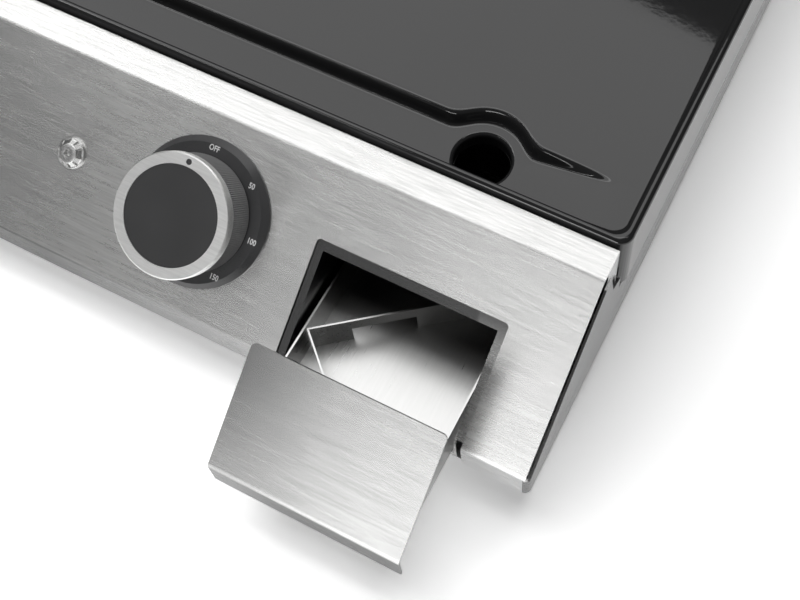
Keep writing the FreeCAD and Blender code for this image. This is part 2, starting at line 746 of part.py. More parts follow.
def cut_gutter(plate):
    """Cut the gutter as a loft from its outline at the cooking level to its outline at its floor."""
    levels = []
    for level, run, ramp in (("cook_z", "0", "0"), ("gutter_z", "gutter_run", "gutter_ramp")):
        step_y = f"(gutter_y - {run})"
        radius = f"(drain_bulge - {run})"
        half_chord = f"sqrt({radius} * {radius} - ({step_y} - drain_y) * ({step_y} - drain_y))"
        end_x = f"(gutter_x - {ramp})"
        points = [(f"-{end_x}", "plate_y + rim_width"), (end_x, "plate_y + rim_width"), (end_x, step_y),
                  (f"drain_x + {half_chord}", step_y), (f"drain_x - {half_chord}", step_y),
                  (f"-{end_x}", step_y)]
        bow = {3: (("drain_x", "drain_y"), ("drain_x", f"drain_y + {radius}"))}
        levels.append(outline(sketch_on(plate, "XY_Plane", level), points, bow))
    before = plate.Shape.Volume
    gutter = plate.newObject("PartDesign::SubtractiveLoft", "Gutter")
    gutter.Profile = levels[0]
    gutter.Sections = [levels[1]]
    gutter.Ruled = True
    document.recompute()
    if plate.Shape.Volume >= before:
        raise RuntimeError("the gutter cut nothing")


def make_drain_spout():
    """The short pipe that leads grease from the drain hole into the drawer."""
    spout = body("drain_spout")
    place(spout, "drain_x", "drain_y", "gutter_slab_z - spout_length")
    bore_x = "drain_diameter / 2"
    turned(spout, [(bore_x, "0"), (f"{bore_x} + spout_wall", "0"), (f"{bore_x} + spout_wall", "spout_length"),
                   (bore_x, "spout_length")])


def make_drawer_sleeve():
    """The channel that the drawer runs in: a box open at the front, with a band round the opening."""
    sleeve = body("drawer_sleeve")
    width = "sleeve_inner + 2 * sleeve_wall"
    roof_top = "sleeve_roof_z + sleeve_wall"
    slope_y = f"(({roof_top}) - fold_z + fascia_wall / cos(panel_slope)) / tan(panel_slope)"
    side = [("fascia_wall + seam", "base_top_z"), ("fascia_wall + seam", "inner_fold_z"),
            (slope_y, roof_top), ("sleeve_depth", roof_top), ("sleeve_depth", "base_top_z")]
    pad(sleeve, outline(sketch_on(sleeve, "YZ_Plane", "drawer_x"), side), width, "Symmetric")
    channel = rectangle(sketch_on(sleeve, "YZ_Plane", "drawer_x"), "-lip_height",
                        "sleeve_depth - sleeve_wall", "sleeve_floor_z", "sleeve_roof_z")
    pocket(sleeve, channel, "sleeve_inner", "Symmetric")
    reach = "opening_width / 2 + sleeve_lap"
    band_top = "opening_length + sleeve_lap"
    band_foot = "lip_fold_radius + fascia_wall"
    band = outline(panel_sketch(sleeve, "fascia_wall"), [
        (f"drawer_x - ({reach})", band_foot), ("drawer_x - sleeve_inner / 2", band_foot),
        ("drawer_x - sleeve_inner / 2", "sleeve_length"), ("drawer_x + sleeve_inner / 2", "sleeve_length"),
        ("drawer_x + sleeve_inner / 2", band_foot), (f"drawer_x + {reach}", band_foot),
        (f"drawer_x + {reach}", band_top), (f"drawer_x - ({reach})", band_top)])
    pad(sleeve, band, "sleeve_wall", reverse=True)
    hole = sketch_on(sleeve, "XY_Plane", roof_top)
    circle(hole, "drain_x", "drain_y", "drain_diameter + 2 * spout_wall + 2 * spout_play")
    pocket(sleeve, hole, "2 * sleeve_wall")


def drawer_body(name):
    """A body of the drawer, drawn out from the closed place."""
    made = body(name)
    place(made, y="-drawer_out")
    return made


def make_drawer_front():
    """The bent front of the drawer, flush with the fascia when it is shut."""
    front = drawer_body("drawer_front")
    outer, inner = bent_profile("front_length")
    top_edge = ("front_length * cos(panel_slope) + fascia_wall * sin(panel_slope)",
                "fold_z + front_length * sin(panel_slope) - fascia_wall * cos(panel_slope)")
    profile = outline(sketch_on(front, "YZ_Plane", "drawer_x"), outer + [top_edge] + inner)
    pad(front, profile, "opening_width - 2 * drawer_gap", "Symmetric")
    short = value("fascia_wall")
    fillet(front, "drawer_corner", lambda edge: abs(edge.Length - short) < 0.01
           and edge.CenterOfMass.z > value("fold_z"))
    fillet(front, "lip_fold_radius + fascia_wall", runs_along_x("-drawer_out", "fold_z"))
    fillet(front, "lip_fold_radius", runs_along_x("fascia_wall - drawer_out", "inner_fold_z"))


def make_drawer_tray():
    """The shallow pan behind the drawer's front, its front wall bent to follow that front."""
    tray = drawer_body("drawer_tray")
    slope_y = "(tray_top_z - fold_z + fascia_wall / cos(panel_slope)) / tan(panel_slope)"
    shell = [("fascia_wall", "tray_z"), ("fascia_wall", "inner_fold_z"), (slope_y, "tray_top_z"),
             ("tray_depth", "tray_top_z"), ("tray_depth", "tray_z")]
    pad(tray, outline(sketch_on(tray, "YZ_Plane", "drawer_x"), shell), "tray_width", "Symmetric")
    fillet(tray, "lip_fold_radius", runs_along_x("fascia_wall - drawer_out", "inner_fold_z"))
    wall_y = "fascia_wall + tray_wall"
    wall_fold_z = "inner_fold_z + tray_wall * tan(panel_slope) - tray_wall / cos(panel_slope)"
    hollow_top = "tray_top_z + tray_wall"
    hollow_y = f"{wall_y} + (({hollow_top}) - ({wall_fold_z})) / tan(panel_slope)"
    hollow = [(wall_y, "tray_floor_z"), (wall_y, wall_fold_z), (hollow_y, hollow_top),
              ("tray_depth - tray_wall", hollow_top), ("tray_depth - tray_wall", "tray_floor_z")]
    pocket(tray, outline(sketch_on(tray, "YZ_Plane", "drawer_x"), hollow), "tray_width - 2 * tray_wall",
           "Symmetric")


def make_splash_baffle():
    """A bent strip that stands in the tray, with a slot along the floor for grease to pass."""
    baffle = document.addObject("PartDesign::Body", "splash_baffle")
    keep(baffle, "splash_baffle")
    place(baffle, "drawer_x - tray_width / 2 + tray_wall + baffle_side_gap", "baffle_setback - drawer_out",
          "tray_floor_z", "baffle_turn_angle", (0, 0, 1))
    short_x = "baffle_short * cos(baffle_angle)"
    short_y = "-baffle_short * sin(baffle_angle)"
    across_x = "baffle_wall * sin(baffle_angle)"
    across_y = "baffle_wall * cos(baffle_angle)"
    mitre = "(baffle_wall / tan(baffle_angle / 2))"
    strip = [("0", "0"), (short_x, short_y), (f"{short_x} + {across_x}", f"{short_y} + {across_y}"),
             (mitre, "-baffle_wall"), ("baffle_long", "-baffle_wall"), ("baffle_long", "0")]
    pad(baffle, outline(sketch_on(baffle, "XY_Plane"), strip), "baffle_height")
    slot = rectangle(sketch_on(baffle, "XZ_Plane"), "flow_slot_start", "flow_slot_start + flow_slot_length",
                     "0", "flow_slot_height")
    pocket(baffle, slot, "4 * baffle_wall", "Symmetric")


def on_panel(name, x, along="control_line"):
    """A body that stands on the panel."""
    made = document.addObject("PartDesign::Body", name)
    place_on_panel(made, x, along)
    return keep(made, name)


def make_dial():
    """The fixed dial plate round the knob, with a bevelled edge."""
    turned(on_panel("dial_bezel", "knob_x"), [
        ("bezel_bore / 2", "0"), ("bezel_diameter / 2", "0"), ("bezel_diameter / 2", "bezel_edge"),
        ("bezel_face / 2", "bezel_height"), ("bezel_bore / 2", "bezel_height")])


def make_knob():
    """The knob: ribbed skirt with a hub, bright ring with a pointer mark, dark cap and the shaft."""
    skirt = on_panel("knob_body", "knob_x")
    hub = "hub_diameter / 2"
    socket = "shaft_diameter / 2 + shaft_play"
    cap = "knob_top - knob_wall"
    turned(skirt, [
        ("knob_base_diameter / 2 - knob_wall", "knob_base"), ("knob_base_diameter / 2", "knob_base"),
        ("knob_top_diameter / 2", "knob_top"), ("0", "knob_top"), ("0", "knob_base + socket_depth"),
        (socket, "knob_base + socket_depth"), (socket, "knob_base"), (hub, "knob_base"), (hub, cap),
        ("knob_top_diameter / 2 - knob_wall", cap)])
    ring = on_panel("knob_ring", "knob_x")
    inner = "disc_diameter / 2 + disc_play"
    turned(ring, [
        (inner, "knob_top"), ("ring_diameter / 2 - ring_chamfer", "knob_top"),
        ("ring_diameter / 2", "knob_top + ring_chamfer"), ("ring_diameter / 2", "knob_height - ring_chamfer"),
        ("ring_diameter / 2 - ring_chamfer", "knob_height"), (inner, "knob_height")])
    mark_y = "(ring_diameter / 2 - ring_chamfer + disc_diameter / 2) / 2"
    mark = circle(sketch_on(ring, "XY_Plane", "knob_height"), "0", mark_y, "pointer_diameter")
    pocket(ring, mark, "pointer_depth")
    turned(on_panel("knob_disc", "knob_x"), [
        ("0", "knob_top"), ("disc_diameter / 2", "knob_top"),
        ("disc_diameter / 2", "knob_height - disc_sink"), ("0", "knob_height - disc_sink")])
    pointer = on_panel("knob_pointer", "knob_x")
    dot = circle(sketch_on(pointer, "XY_Plane", "knob_height - pointer_depth"), "0", mark_y,
                 "pointer_diameter - 2 * disc_play")
    pad(pointer, dot, "pointer_depth - disc_play")
    shaft = on_panel("thermostat_shaft", "knob_x")
    stem = circle(sketch_on(shaft, "XY_Plane", "-fascia_wall - shaft_inside + hole_play"), "0", "0",
                  "shaft_diameter")
    pad(shaft, stem, "fascia_wall + shaft_inside - 2 * hole_play + knob_base + socket_depth")


def make_thermostat():
    """The thermostat behind the panel, its two screws, and its bulb and capillary under the griddle."""
    unit = on_panel("thermostat_body", "knob_x")
    case = rectangle(sketch_on(unit, "XY_Plane", "-fascia_wall"), "-thermostat_width / 2",
                     "thermostat_width / 2", "-thermostat_height / 2", "thermostat_height / 2")
    pad(unit, case, "thermostat_depth", reverse=True)
    bore = circle(sketch_on(unit, "XY_Plane", "-fascia_wall"), "0", "0", "shaft_diameter + 2 * shaft_play")
    pocket(unit, bore, "shaft_inside")
    taps = sketch_on(unit, "XY_Plane", "-fascia_wall")
    for side in ("-", ""):
        circle(taps, f"{side}thermostat_screw_spread / 2", "0", "thermostat_screw_diameter + hole_play")
    pocket(unit, taps, "shaft_inside")
    screws = document.addObject("PartDesign::Body", "thermostat_screws")
    screws.AllowCompound = True
    place_on_panel(screws, "knob_x")
    keep(screws, "thermostat_screws")
    for side in ("-", ""):
        spot = f"{side}thermostat_screw_spread / 2"
        head = circle(sketch_on(screws, "XY_Plane"), spot, "0", "thermostat_screw_head")
        pad(screws, head, "screw_head_height")
        stem = circle(sketch_on(screws, "XY_Plane"), spot, "0", "thermostat_screw_diameter")
        pad(screws, stem, "shaft_inside - fascia_wall", reverse=True)
    sensor = body("capillary_sensor")
    bulb = circle(sketch_on(sensor, "YZ_Plane", "knob_x - capillary_diameter"), "bulb_y", "bulb_z",
                  "bulb_diameter")
    pad(sensor, bulb, "bulb_length")
    route = sketch_on(sensor, "YZ_Plane", "knob_x")
    open_path(route, [("bulb_y", "bulb_z"), ("bulb_y", "capillary_z + capillary_bend"),
                      ("bulb_y - capillary_bend", "capillary_z"), ("capillary_end_y", "capillary_z")])
    ring = circle(sketch_on(sensor, "XY_Plane", "bulb_z"), "knob_x", "bulb_y", "capillary_diameter")
    pipe = sensor.newObject("PartDesign::AdditivePipe", "Capillary")
    pipe.Profile = ring
    pipe.Spine = route
    document.recompute()


def open_path(sketch, points):
    """Draw a run, a quarter bend and a run, as a pipe's path."""
    spots = [FreeCAD.Vector(value(x), value(y), 0) for x, y in points]
    bend = value("capillary_bend")
    centre = FreeCAD.Vector(spots[2].x, spots[1].y, 0)
    middle = centre + FreeCAD.Vector(bend, -bend, 0) * 0.5 ** 0.5
    sketch.addGeometry(Part.LineSegment(spots[0], spots[1]))
    sketch.addGeometry(arc_about(centre, spots[1], middle, spots[2]))
    sketch.addGeometry(Part.LineSegment(spots[2], spots[3]))
    first = first_end(sketch, 1, spots[1], spots[2])
    sketch.addConstraint(Sketcher.Constraint("Coincident", 0, 2, 1, first))
    sketch.addConstraint(Sketcher.Constraint("Coincident", 1, 3 - first, 2, 1))
    radius = sketch.addConstraint(Sketcher.Constraint("Radius", 1, bend))
    sketch.setExpression(f"Constraints[{radius}]", bind("capillary_bend"))
    for edge, end, point in ((0, 1, points[0]), (0, 2, points[1]), (2, 1, points[2]), (2, 2, points[3])):
        pin_point(sketch, edge, end, point)


def make_lamp():
    """The lamp: clear lens on the panel, its body through the hole and the clip that holds it."""
    lens = on_panel("lamp_lens", "lamp_x")
    facets = 8
    crown = sketch_on(lens, "XY_Plane", "lens_flange")
    outline(crown, [(f"(lens_diameter / 2 - lamp_play) * cos({360 / facets * k})",
                     f"(lens_diameter / 2 - lamp_play) * sin({360 / facets * k})") for k in range(facets)])
    table = sketch_on(lens, "XY_Plane", "lens_height")
    outline(table, [(f"lens_top_diameter / 2 * cos({360 / facets * k})",
                     f"lens_top_diameter / 2 * sin({360 / facets * k})") for k in range(facets)])
    pad(lens, circle(sketch_on(lens, "XY_Plane"), "0", "0", "lens_diameter"), "lens_flange")
    jewel = lens.newObject("PartDesign::AdditiveLoft", "Jewel")
    jewel.Profile = crown
    jewel.Sections = [table]
    jewel.Ruled = True
    document.recompute()
    dimple = circle(sketch_on(lens, "XY_Plane", "lens_height"), "0", "0", "lens_dimple")
    pocket(lens, dimple, "lens_dimple_depth")
    holder = on_panel("lamp_body", "lamp_x")
    tube = circle(sketch_on(holder, "XY_Plane"), "0", "0", "lamp_hole - 2 * lamp_play")
    pad(holder, tube, "lamp_length", reverse=True)
    clip = on_panel("lamp_clip", "lamp_x")
    washer = sketch_on(clip, "XY_Plane", "-fascia_wall")
    circle(washer, "0", "0", "lamp_clip_diameter")
    circle(washer, "0", "0", "lamp_hole")
    pad(clip, washer, "lamp_clip_wall", reverse=True)


def make_heater():
    """The sheathed element in a row of runs and bends, with clamp bars, studs, nuts and a heat shield."""
    runs = round(value("run_count"))
    pieces = []
    for run in range(runs):
        row_y = f"element_y + {run} * element_pitch"
        ends = "cold_end" if run in (0, runs - 1) else "0"
        pieces.append(cylinder("element_diameter", f"element_span + {ends}", "-element_span / 2", row_y,
                               "element_z", "90", (0, 1, 0)))
        if run in (0, runs - 1):
            pieces.append(cylinder("pin_diameter", f"element_span + {ends} + pin_length", "-element_span / 2",
                                   row_y, "element_z", "90", (0, 1, 0)))
    for bend in range(runs - 1):
        side = "-" if bend % 2 == 0 else ""
        loop = document.addObject("Part::Torus", "Bend")
        loop.setExpression("Radius1", bind("element_pitch / 2"))
        loop.setExpression("Radius2", bind("element_diameter / 2"))
        loop.Angle3 = 180
        place(loop, f"{side}element_span / 2", f"element_y + ({bend} + 0.5) * element_pitch", "element_z",
              "90" if side else "-90", (0, 0, 1))
        pieces.append(loop)
    keep(fuse(*pieces), "heating_element")
    bar_length = f"{runs - 1} * element_pitch + 2 * bar_end"
    bars, studs, nuts = [], [], []
    for side in ("-", ""):
        bar_x = f"{side}bar_spread / 2"
        bar = document.addObject("Part::Box", "Bar")
        bar.setExpression("Length", bind("bar_width"))
        bar.setExpression("Width", bind(bar_length))
        bar.setExpression("Height", bind("bar_wall"))
        place(bar, f"{bar_x} - bar_width / 2", "element_y - bar_end", "bar_z")
        for gap in (1.5, runs - 2.5):
            row_y = f"element_y + {gap} * element_pitch"
            bar = cut(bar, cylinder("stud_diameter + 2 * hole_play", "3 * bar_wall", bar_x, row_y,
                                    "bar_z - bar_wall"))
            studs.append(stud(bar_x, row_y, "bar_z"))
            nuts.append(nut("stud_diameter", "stud_nut_flats", "stud_nut_height", bar_x, row_y,
                            "bar_z - stud_nut_height"))
        bars.append(bar)
        for row_y in ledge_stud_rows():
            studs.append(stud(f"{side}ledge_stud_x", row_y, "skirt_z - cheek_wall"))
            nuts.append(nut("stud_diameter", "stud_nut_flats", "stud_nut_height", f"{side}ledge_stud_x",
                            row_y, "skirt_z - cheek_wall - stud_nut_height"))
    group("clamp_bars", bars)
    group("plate_studs", studs)
    group("stud_nuts", nuts)
    shield = body("heat_shield")
    front = "plate_y + shield_setback"
    rear = f"{front} + shield_depth"
    roof = "base_top_z + shield_height"
    bridge = [(f"{front} - shield_foot", "base_top_z"), (f"{front} + shield_wall", "base_top_z"),
              (f"{front} + shield_wall", f"{roof} - shield_wall"),
              (f"{rear} - shield_wall", f"{roof} - shield_wall"),
              (f"{rear} - shield_wall", "base_top_z"), (f"{rear} + shield_foot", "base_top_z"),
              (f"{rear} + shield_foot", "base_top_z + shield_wall"), (rear, "base_top_z + shield_wall"),
              (rear, roof), (front, roof), (front, "base_top_z + shield_wall"),
              (f"{front} - shield_foot", "base_top_z + shield_wall")]
    pad(shield, outline(sketch_on(shield, "YZ_Plane"), bridge), "shield_width", "Symmetric")


def stud(x, y, seat_z):
    """A welded stud from the griddle's underside to below its nut."""
    return cylinder("stud_diameter", f"slab_z - ({seat_z}) + stud_reach", x, y, f"{seat_z} - stud_reach")


def nut(thread, flats, height, x, y, z):
    """A hexagon nut."""
    return cut(prism(flats, height, x, y, z),
               cylinder(f"{thread} + 2 * shaft_play", f"3 * ({height})", x, y, f"{z} - ({height})"))


def make_mains_entry():
    """The cable gland in the rear panel, its locknut, cap and seal, and the terminal block inside."""
    def at_gland(name):
        made = document.addObject("PartDesign::Body", name)
        place(made, "gland_x", "rear_y", "foot_height + gland_level", "-90")
        return keep(made, name)

    gland = at_gland("gland_body")
    pad(gland, hexagon(sketch_on(gland, "XY_Plane"), "gland_flats"), "gland_flange")
    neck_start = "gland_flange"
    pad(gland, circle(sketch_on(gland, "XY_Plane", neck_start), "0", "0", "gland_neck"), "gland_neck_length")
    pad(gland, circle(sketch_on(gland, "XY_Plane"), "0", "0", "gland_thread"), "gland_inside", reverse=True)
    pocket(gland, circle(sketch_on(gland, "XY_Plane"), "0", "0", "gland_bore"), side="Symmetric")
    locknut = at_gland("gland_locknut")
    pad(locknut, hexagon(sketch_on(locknut, "XY_Plane", "-rear_wall"), "gland_flats"), "locknut_height",
        reverse=True)
    pocket(locknut, circle(sketch_on(locknut, "XY_Plane"), "0", "0", "gland_thread + 2 * gland_play"),
           side="Symmetric")
    cap = at_gland("gland_cap")
    clear = "gland_flange + gland_play"
    inside = "gland_neck / 2 + gland_play"
    roof = "gland_reach - gland_cap_top"
    shoulder = "gland_flats / 2 - gland_cap_top"
    turned(cap, [(inside, clear), ("gland_flats / 2", clear), ("gland_flats / 2", f"{roof} - gland_cap_top"),
                 (shoulder, "gland_reach"), ("gland_cap_bore / 2", "gland_reach"),
                 ("gland_cap_bore / 2", roof), (inside, roof)])
    seal = at_gland("gland_seal")
    seal_end = f"{roof} - gland_play"
    turned(seal, [("seal_bore / 2", f"{seal_end} - seal_length"),
                  ("gland_bore / 2 - gland_play", f"{seal_end} - seal_length"),
                  ("gland_bore / 2 - gland_play", seal_end), ("seal_bore / 2", seal_end)])
    block = body("terminal_block")
    box = rectangle(sketch_on(block, "XY_Plane", "base_top_z"), "gland_x - block_width / 2",
                    "gland_x + block_width / 2", "rear_y - block_setback - block_depth",
                    "rear_y - block_setback")
    pad(block, box, "block_height")
    way = "block_width / block_ways"
    well = circle(sketch_on(block, "XY_Plane", "base_top_z + block_height"),
                  f"gland_x - block_width / 2 + {way} / 2", "rear_y - block_setback - block_depth / 2",
                  "block_well")
    hole = pocket(block, well, "block_well_depth")
    pattern(block, hole, well, "H_Axis", way, "block_ways")


def make_feet():
    """Four turned rubber feet, with their screws and nuts, and the screws of the base."""
    screws, nuts = [], []
    for end, y in foot_rows().items():
        for side, sign in (("left", "-"), ("right", "")):
            x = f"{sign}foot_x"
            foot = body(f"foot_{end}_{side}")
            place(foot, x, y)
            hole = "screw_diameter / 2 + hole_play"
            turned(foot, [("foot_recess_diameter / 2", "0"), ("foot_diameter / 2 - foot_recess / 8", "0"),
                          ("foot_diameter / 2", "foot_recess / 4"), ("foot_top_diameter / 2", "foot_height"),
                          (hole, "foot_height"), (hole, "foot_recess"),
                          ("foot_recess_diameter / 2", "foot_recess")])
            head = cylinder("screw_head_diameter", "screw_head_height", x, y,
                            "foot_recess - screw_head_height")
            stem_length = "base_top_z + screw_reach - foot_recess + screw_head_height / 2"
            stem = cylinder("screw_diameter", stem_length, x, y, "foot_recess - screw_head_height / 2")
            screws.append(fuse(head, stem))
            nuts.append(nut("screw_diameter", "nut_flats", "nut_height", x, y, "base_top_z"))
    group("foot_screws", screws)
    group("foot_nuts", nuts)
    base_screws = []
    for sign in ("-", ""):
        for y in base_screw_rows():
            x = f"{sign}base_screw_x"
            head = cylinder("base_screw_head", "screw_head_height", x, y, "foot_height - screw_head_height")
            stem = cylinder("base_screw_diameter", "base_wall + 2 * cheek_wall + screw_head_height / 2", x, y,
                            "foot_height - screw_head_height / 2")
            base_screws.append(fuse(head, stem))
    group("base_screws", base_screws)


def check_and_write():
    """Stop if any object failed or any piece is empty or not valid, then write each piece."""
    document.recompute()
    for item in document.Objects:
        if "Invalid" in item.State or "Error" in item.State:
            raise RuntimeError(f"{item.Name} ({item.Label}) failed: {item.State}")
    os.makedirs("parts", exist_ok=True)
    for piece in subparts:
        shape = piece.Shape
        if shape.isNull() or not shape.isValid() or not shape.Solids:
            raise RuntimeError(f"{piece.Label} has no sound solid")
        if len(shape.Solids) > 1 and piece.Label not in GROUPS:
            raise RuntimeError(f"{piece.Label} fell into {len(shape.Solids)} solids")
        shape.exportStep(f"parts/{piece.Label}.step")
        box = shape.BoundBox
        print(f"{piece.Label}: {len(shape.Solids)} solid, {shape.Volume / 1000:.2f} cm3, "
              f"x {box.XMin:.1f} {box.XMax:.1f}, y {box.YMin:.1f} {box.YMax:.1f}, "
              f"z {box.ZMin:.1f} {box.ZMax:.1f}")


make_front_fascia()
make_cheek("left_cheek", -1)
make_cheek("right_cheek", 1)
make_rear_panel()
make_base_plate()
make_cooking_plate()
make_drain_spout()
make_drawer_sleeve()
make_drawer_front()
make_drawer_tray()
make_splash_baffle()
make_dial()
make_knob()
make_thermostat()
make_lamp()
make_heater()
make_mains_entry()
make_feet()
check_and_write()
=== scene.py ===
"""Looks of an electric plancha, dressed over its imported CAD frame.

Frame: +X to the right, +Y to the back, +Z up. Sizes in the classes are in millimetres, with Y
counted from the outer face of the fascia's lip; to_row() turns them into the frame's metres.
"""

import logging
import math
from dataclasses import dataclass
from enum import Enum
from typing import Callable, Sequence, Union

import bmesh
import bpy
from bmesh.types import BMEdge, BMVert, BMesh
from bpy.types import Material, Mesh, Node, NodeSocket, NodeTree, Object, World
from mathutils import Matrix, Vector
from mathutils.geometry import delaunay_2d_cdt


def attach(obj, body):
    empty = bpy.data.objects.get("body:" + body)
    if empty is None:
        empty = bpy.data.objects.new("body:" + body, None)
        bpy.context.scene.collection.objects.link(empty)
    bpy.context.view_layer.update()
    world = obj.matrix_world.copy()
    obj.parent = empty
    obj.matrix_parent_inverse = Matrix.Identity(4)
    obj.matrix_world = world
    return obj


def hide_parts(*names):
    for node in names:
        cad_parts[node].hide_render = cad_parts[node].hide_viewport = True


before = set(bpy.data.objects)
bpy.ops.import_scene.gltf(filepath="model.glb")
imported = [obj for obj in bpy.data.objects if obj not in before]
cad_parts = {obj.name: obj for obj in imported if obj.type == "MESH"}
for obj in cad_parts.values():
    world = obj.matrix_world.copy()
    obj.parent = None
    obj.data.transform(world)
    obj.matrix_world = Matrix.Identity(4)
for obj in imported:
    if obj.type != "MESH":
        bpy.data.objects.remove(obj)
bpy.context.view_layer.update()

log = logging.getLogger("plancha")
logging.basicConfig(level=logging.INFO, format="%(name)s: %(message)s")

MM = 0.001
CLOSE = 1e-5
TINY = 1e-6
Point2 = tuple[float, float]
Point3 = tuple[float, float, float]
Colour = Point3
WHITE = (1.0, 1.0, 1.0, 1.0)
MIDDLE = (0.3, 0.7)
GRAIN_DEPTH = 0.00005


class Body(Enum):
    """The bodies that the pieces made here ride."""

    HOUSING = "housing"
    KNOB = "knob"


class Grain(Enum):
    """The direction that a sheet was brushed in."""

    ALONG_X = (1.0, 0.0, 0.0)
    ALONG_Y = (0.0, 1.0, 0.0)


@dataclass(frozen=True)
class Layout:
    """The sizes that several sub-assemblies share, in millimetres."""

    panel_width: float = 439.0
    slope: float = 36.0
    panel_length: float = 81.2
    strip_depth: float = 13.0
    lip_height: float = 15.5
    foot_height: float = 20.0
    cheek_gap: float = 0.75
    cheek_wall: float = 0.95
    plate_gap: float = 0.7
    plate_overhang: float = 1.1
    plate_depth: float = 400.0
    plate_rise: float = 4.0
    gland_reach: float = 20.0
    drawer_out: float = 47.0
    control_line: float = 41.2
    knob_inset: float = 158.9
    lamp_inset: float = 220.5
    drain_inset: float = 65.0

    @property
    def plate_half(self) -> float:
        """Half the width of the griddle, which stands a little over the cheeks."""
        return self.panel_width / 2 + self.cheek_gap + self.cheek_wall + self.plate_overhang

    def from_right(self, inset: float) -> float:
        """A place across the width, counted in from the panel's right end."""
        return self.panel_width / 2 - inset

    @property
    def fold_z(self) -> float:
        """Height of the lip's fold."""
        return self.foot_height + self.lip_height

    @property
    def plate_y(self) -> float:
        """The griddle's front face."""
        return self.panel_length * math.cos(math.radians(self.slope)) + self.strip_depth + self.plate_gap

    @property
    def rear_y(self) -> float:
        """The griddle's rear face."""
        return self.plate_y + self.plate_depth

    @property
    def rim_z(self) -> float:
        """The top of the griddle's rim."""
        return self.fold_z + self.panel_length * math.sin(math.radians(self.slope)) + self.plate_rise

    @property
    def centre_y(self) -> float:
        """The frame's origin, counted from the lip."""
        return (self.rear_y + self.gland_reach - self.drawer_out) / 2

    def to_row(self, x: float, y: float, z: float) -> Vector:
        """Turn a place in millimetres, counted from the lip, into the frame's metres.

        Args:
            x: Millimetres to the right of the middle.
            y: Millimetres behind the lip's outer face.
            z: Millimetres above the floor.

        Returns:
            The place in the frame.
        """
        return Vector((x, y - self.centre_y, z)) * MM

    def on_panel(self, inset: float) -> Matrix:
        """The frame of a control on the sloping panel, with +Z as the panel's outward normal.

        Args:
            inset: Millimetres in from the panel's right end.

        Returns:
            A matrix from millimetres on the panel to the frame's metres.
        """
        angle = math.radians(self.slope)
        along = self.control_line
        x = self.from_right(inset)
        spot = self.to_row(x, along * math.cos(angle), self.fold_z + along * math.sin(angle))
        return Matrix.Translation(spot) @ Matrix.Rotation(angle, 4, "X") @ Matrix.Scale(MM, 4)


LAYOUT = Layout()


class Wire:
    """A shader socket that does arithmetic, so that a formula reads as one."""

    def __init__(self, tree: "Tree", socket: NodeSocket) -> None:
        """Wrap one output socket of a tree."""
        self.tree = tree
        self.socket = socket

    def maths(self, operation: str, *others: "Operand") -> "Wire":
        """Apply a Math node to this socket and the others."""
        return self.tree.maths(operation, self, *others)

    def __add__(self, other: "Operand") -> "Wire":
        """This plus the other."""
        return self.maths("ADD", other)

    __radd__ = __add__

    def __sub__(self, other: "Operand") -> "Wire":
        """This less the other."""
        return self.maths("SUBTRACT", other)

    def __rsub__(self, other: "Operand") -> "Wire":
        """The other less this."""
        return self.tree.maths("SUBTRACT", other, self)

    def __mul__(self, other: "Operand") -> "Wire":
        """This times the other."""
        return self.maths("MULTIPLY", other)

    __rmul__ = __mul__

    def between(self, low: float, high: float) -> "Wire":
        """Where this lies between two values, from 0 to 1 and held there."""
        made = self.tree.node("ShaderNodeMapRange", {"clamp": True},
                              {"Value": self, "From Min": low, "From Max": high})
        return Wire(self.tree, made.outputs["Result"])


Operand = Union[Wire, int, float]
Paint = Union[Colour, NodeSocket]


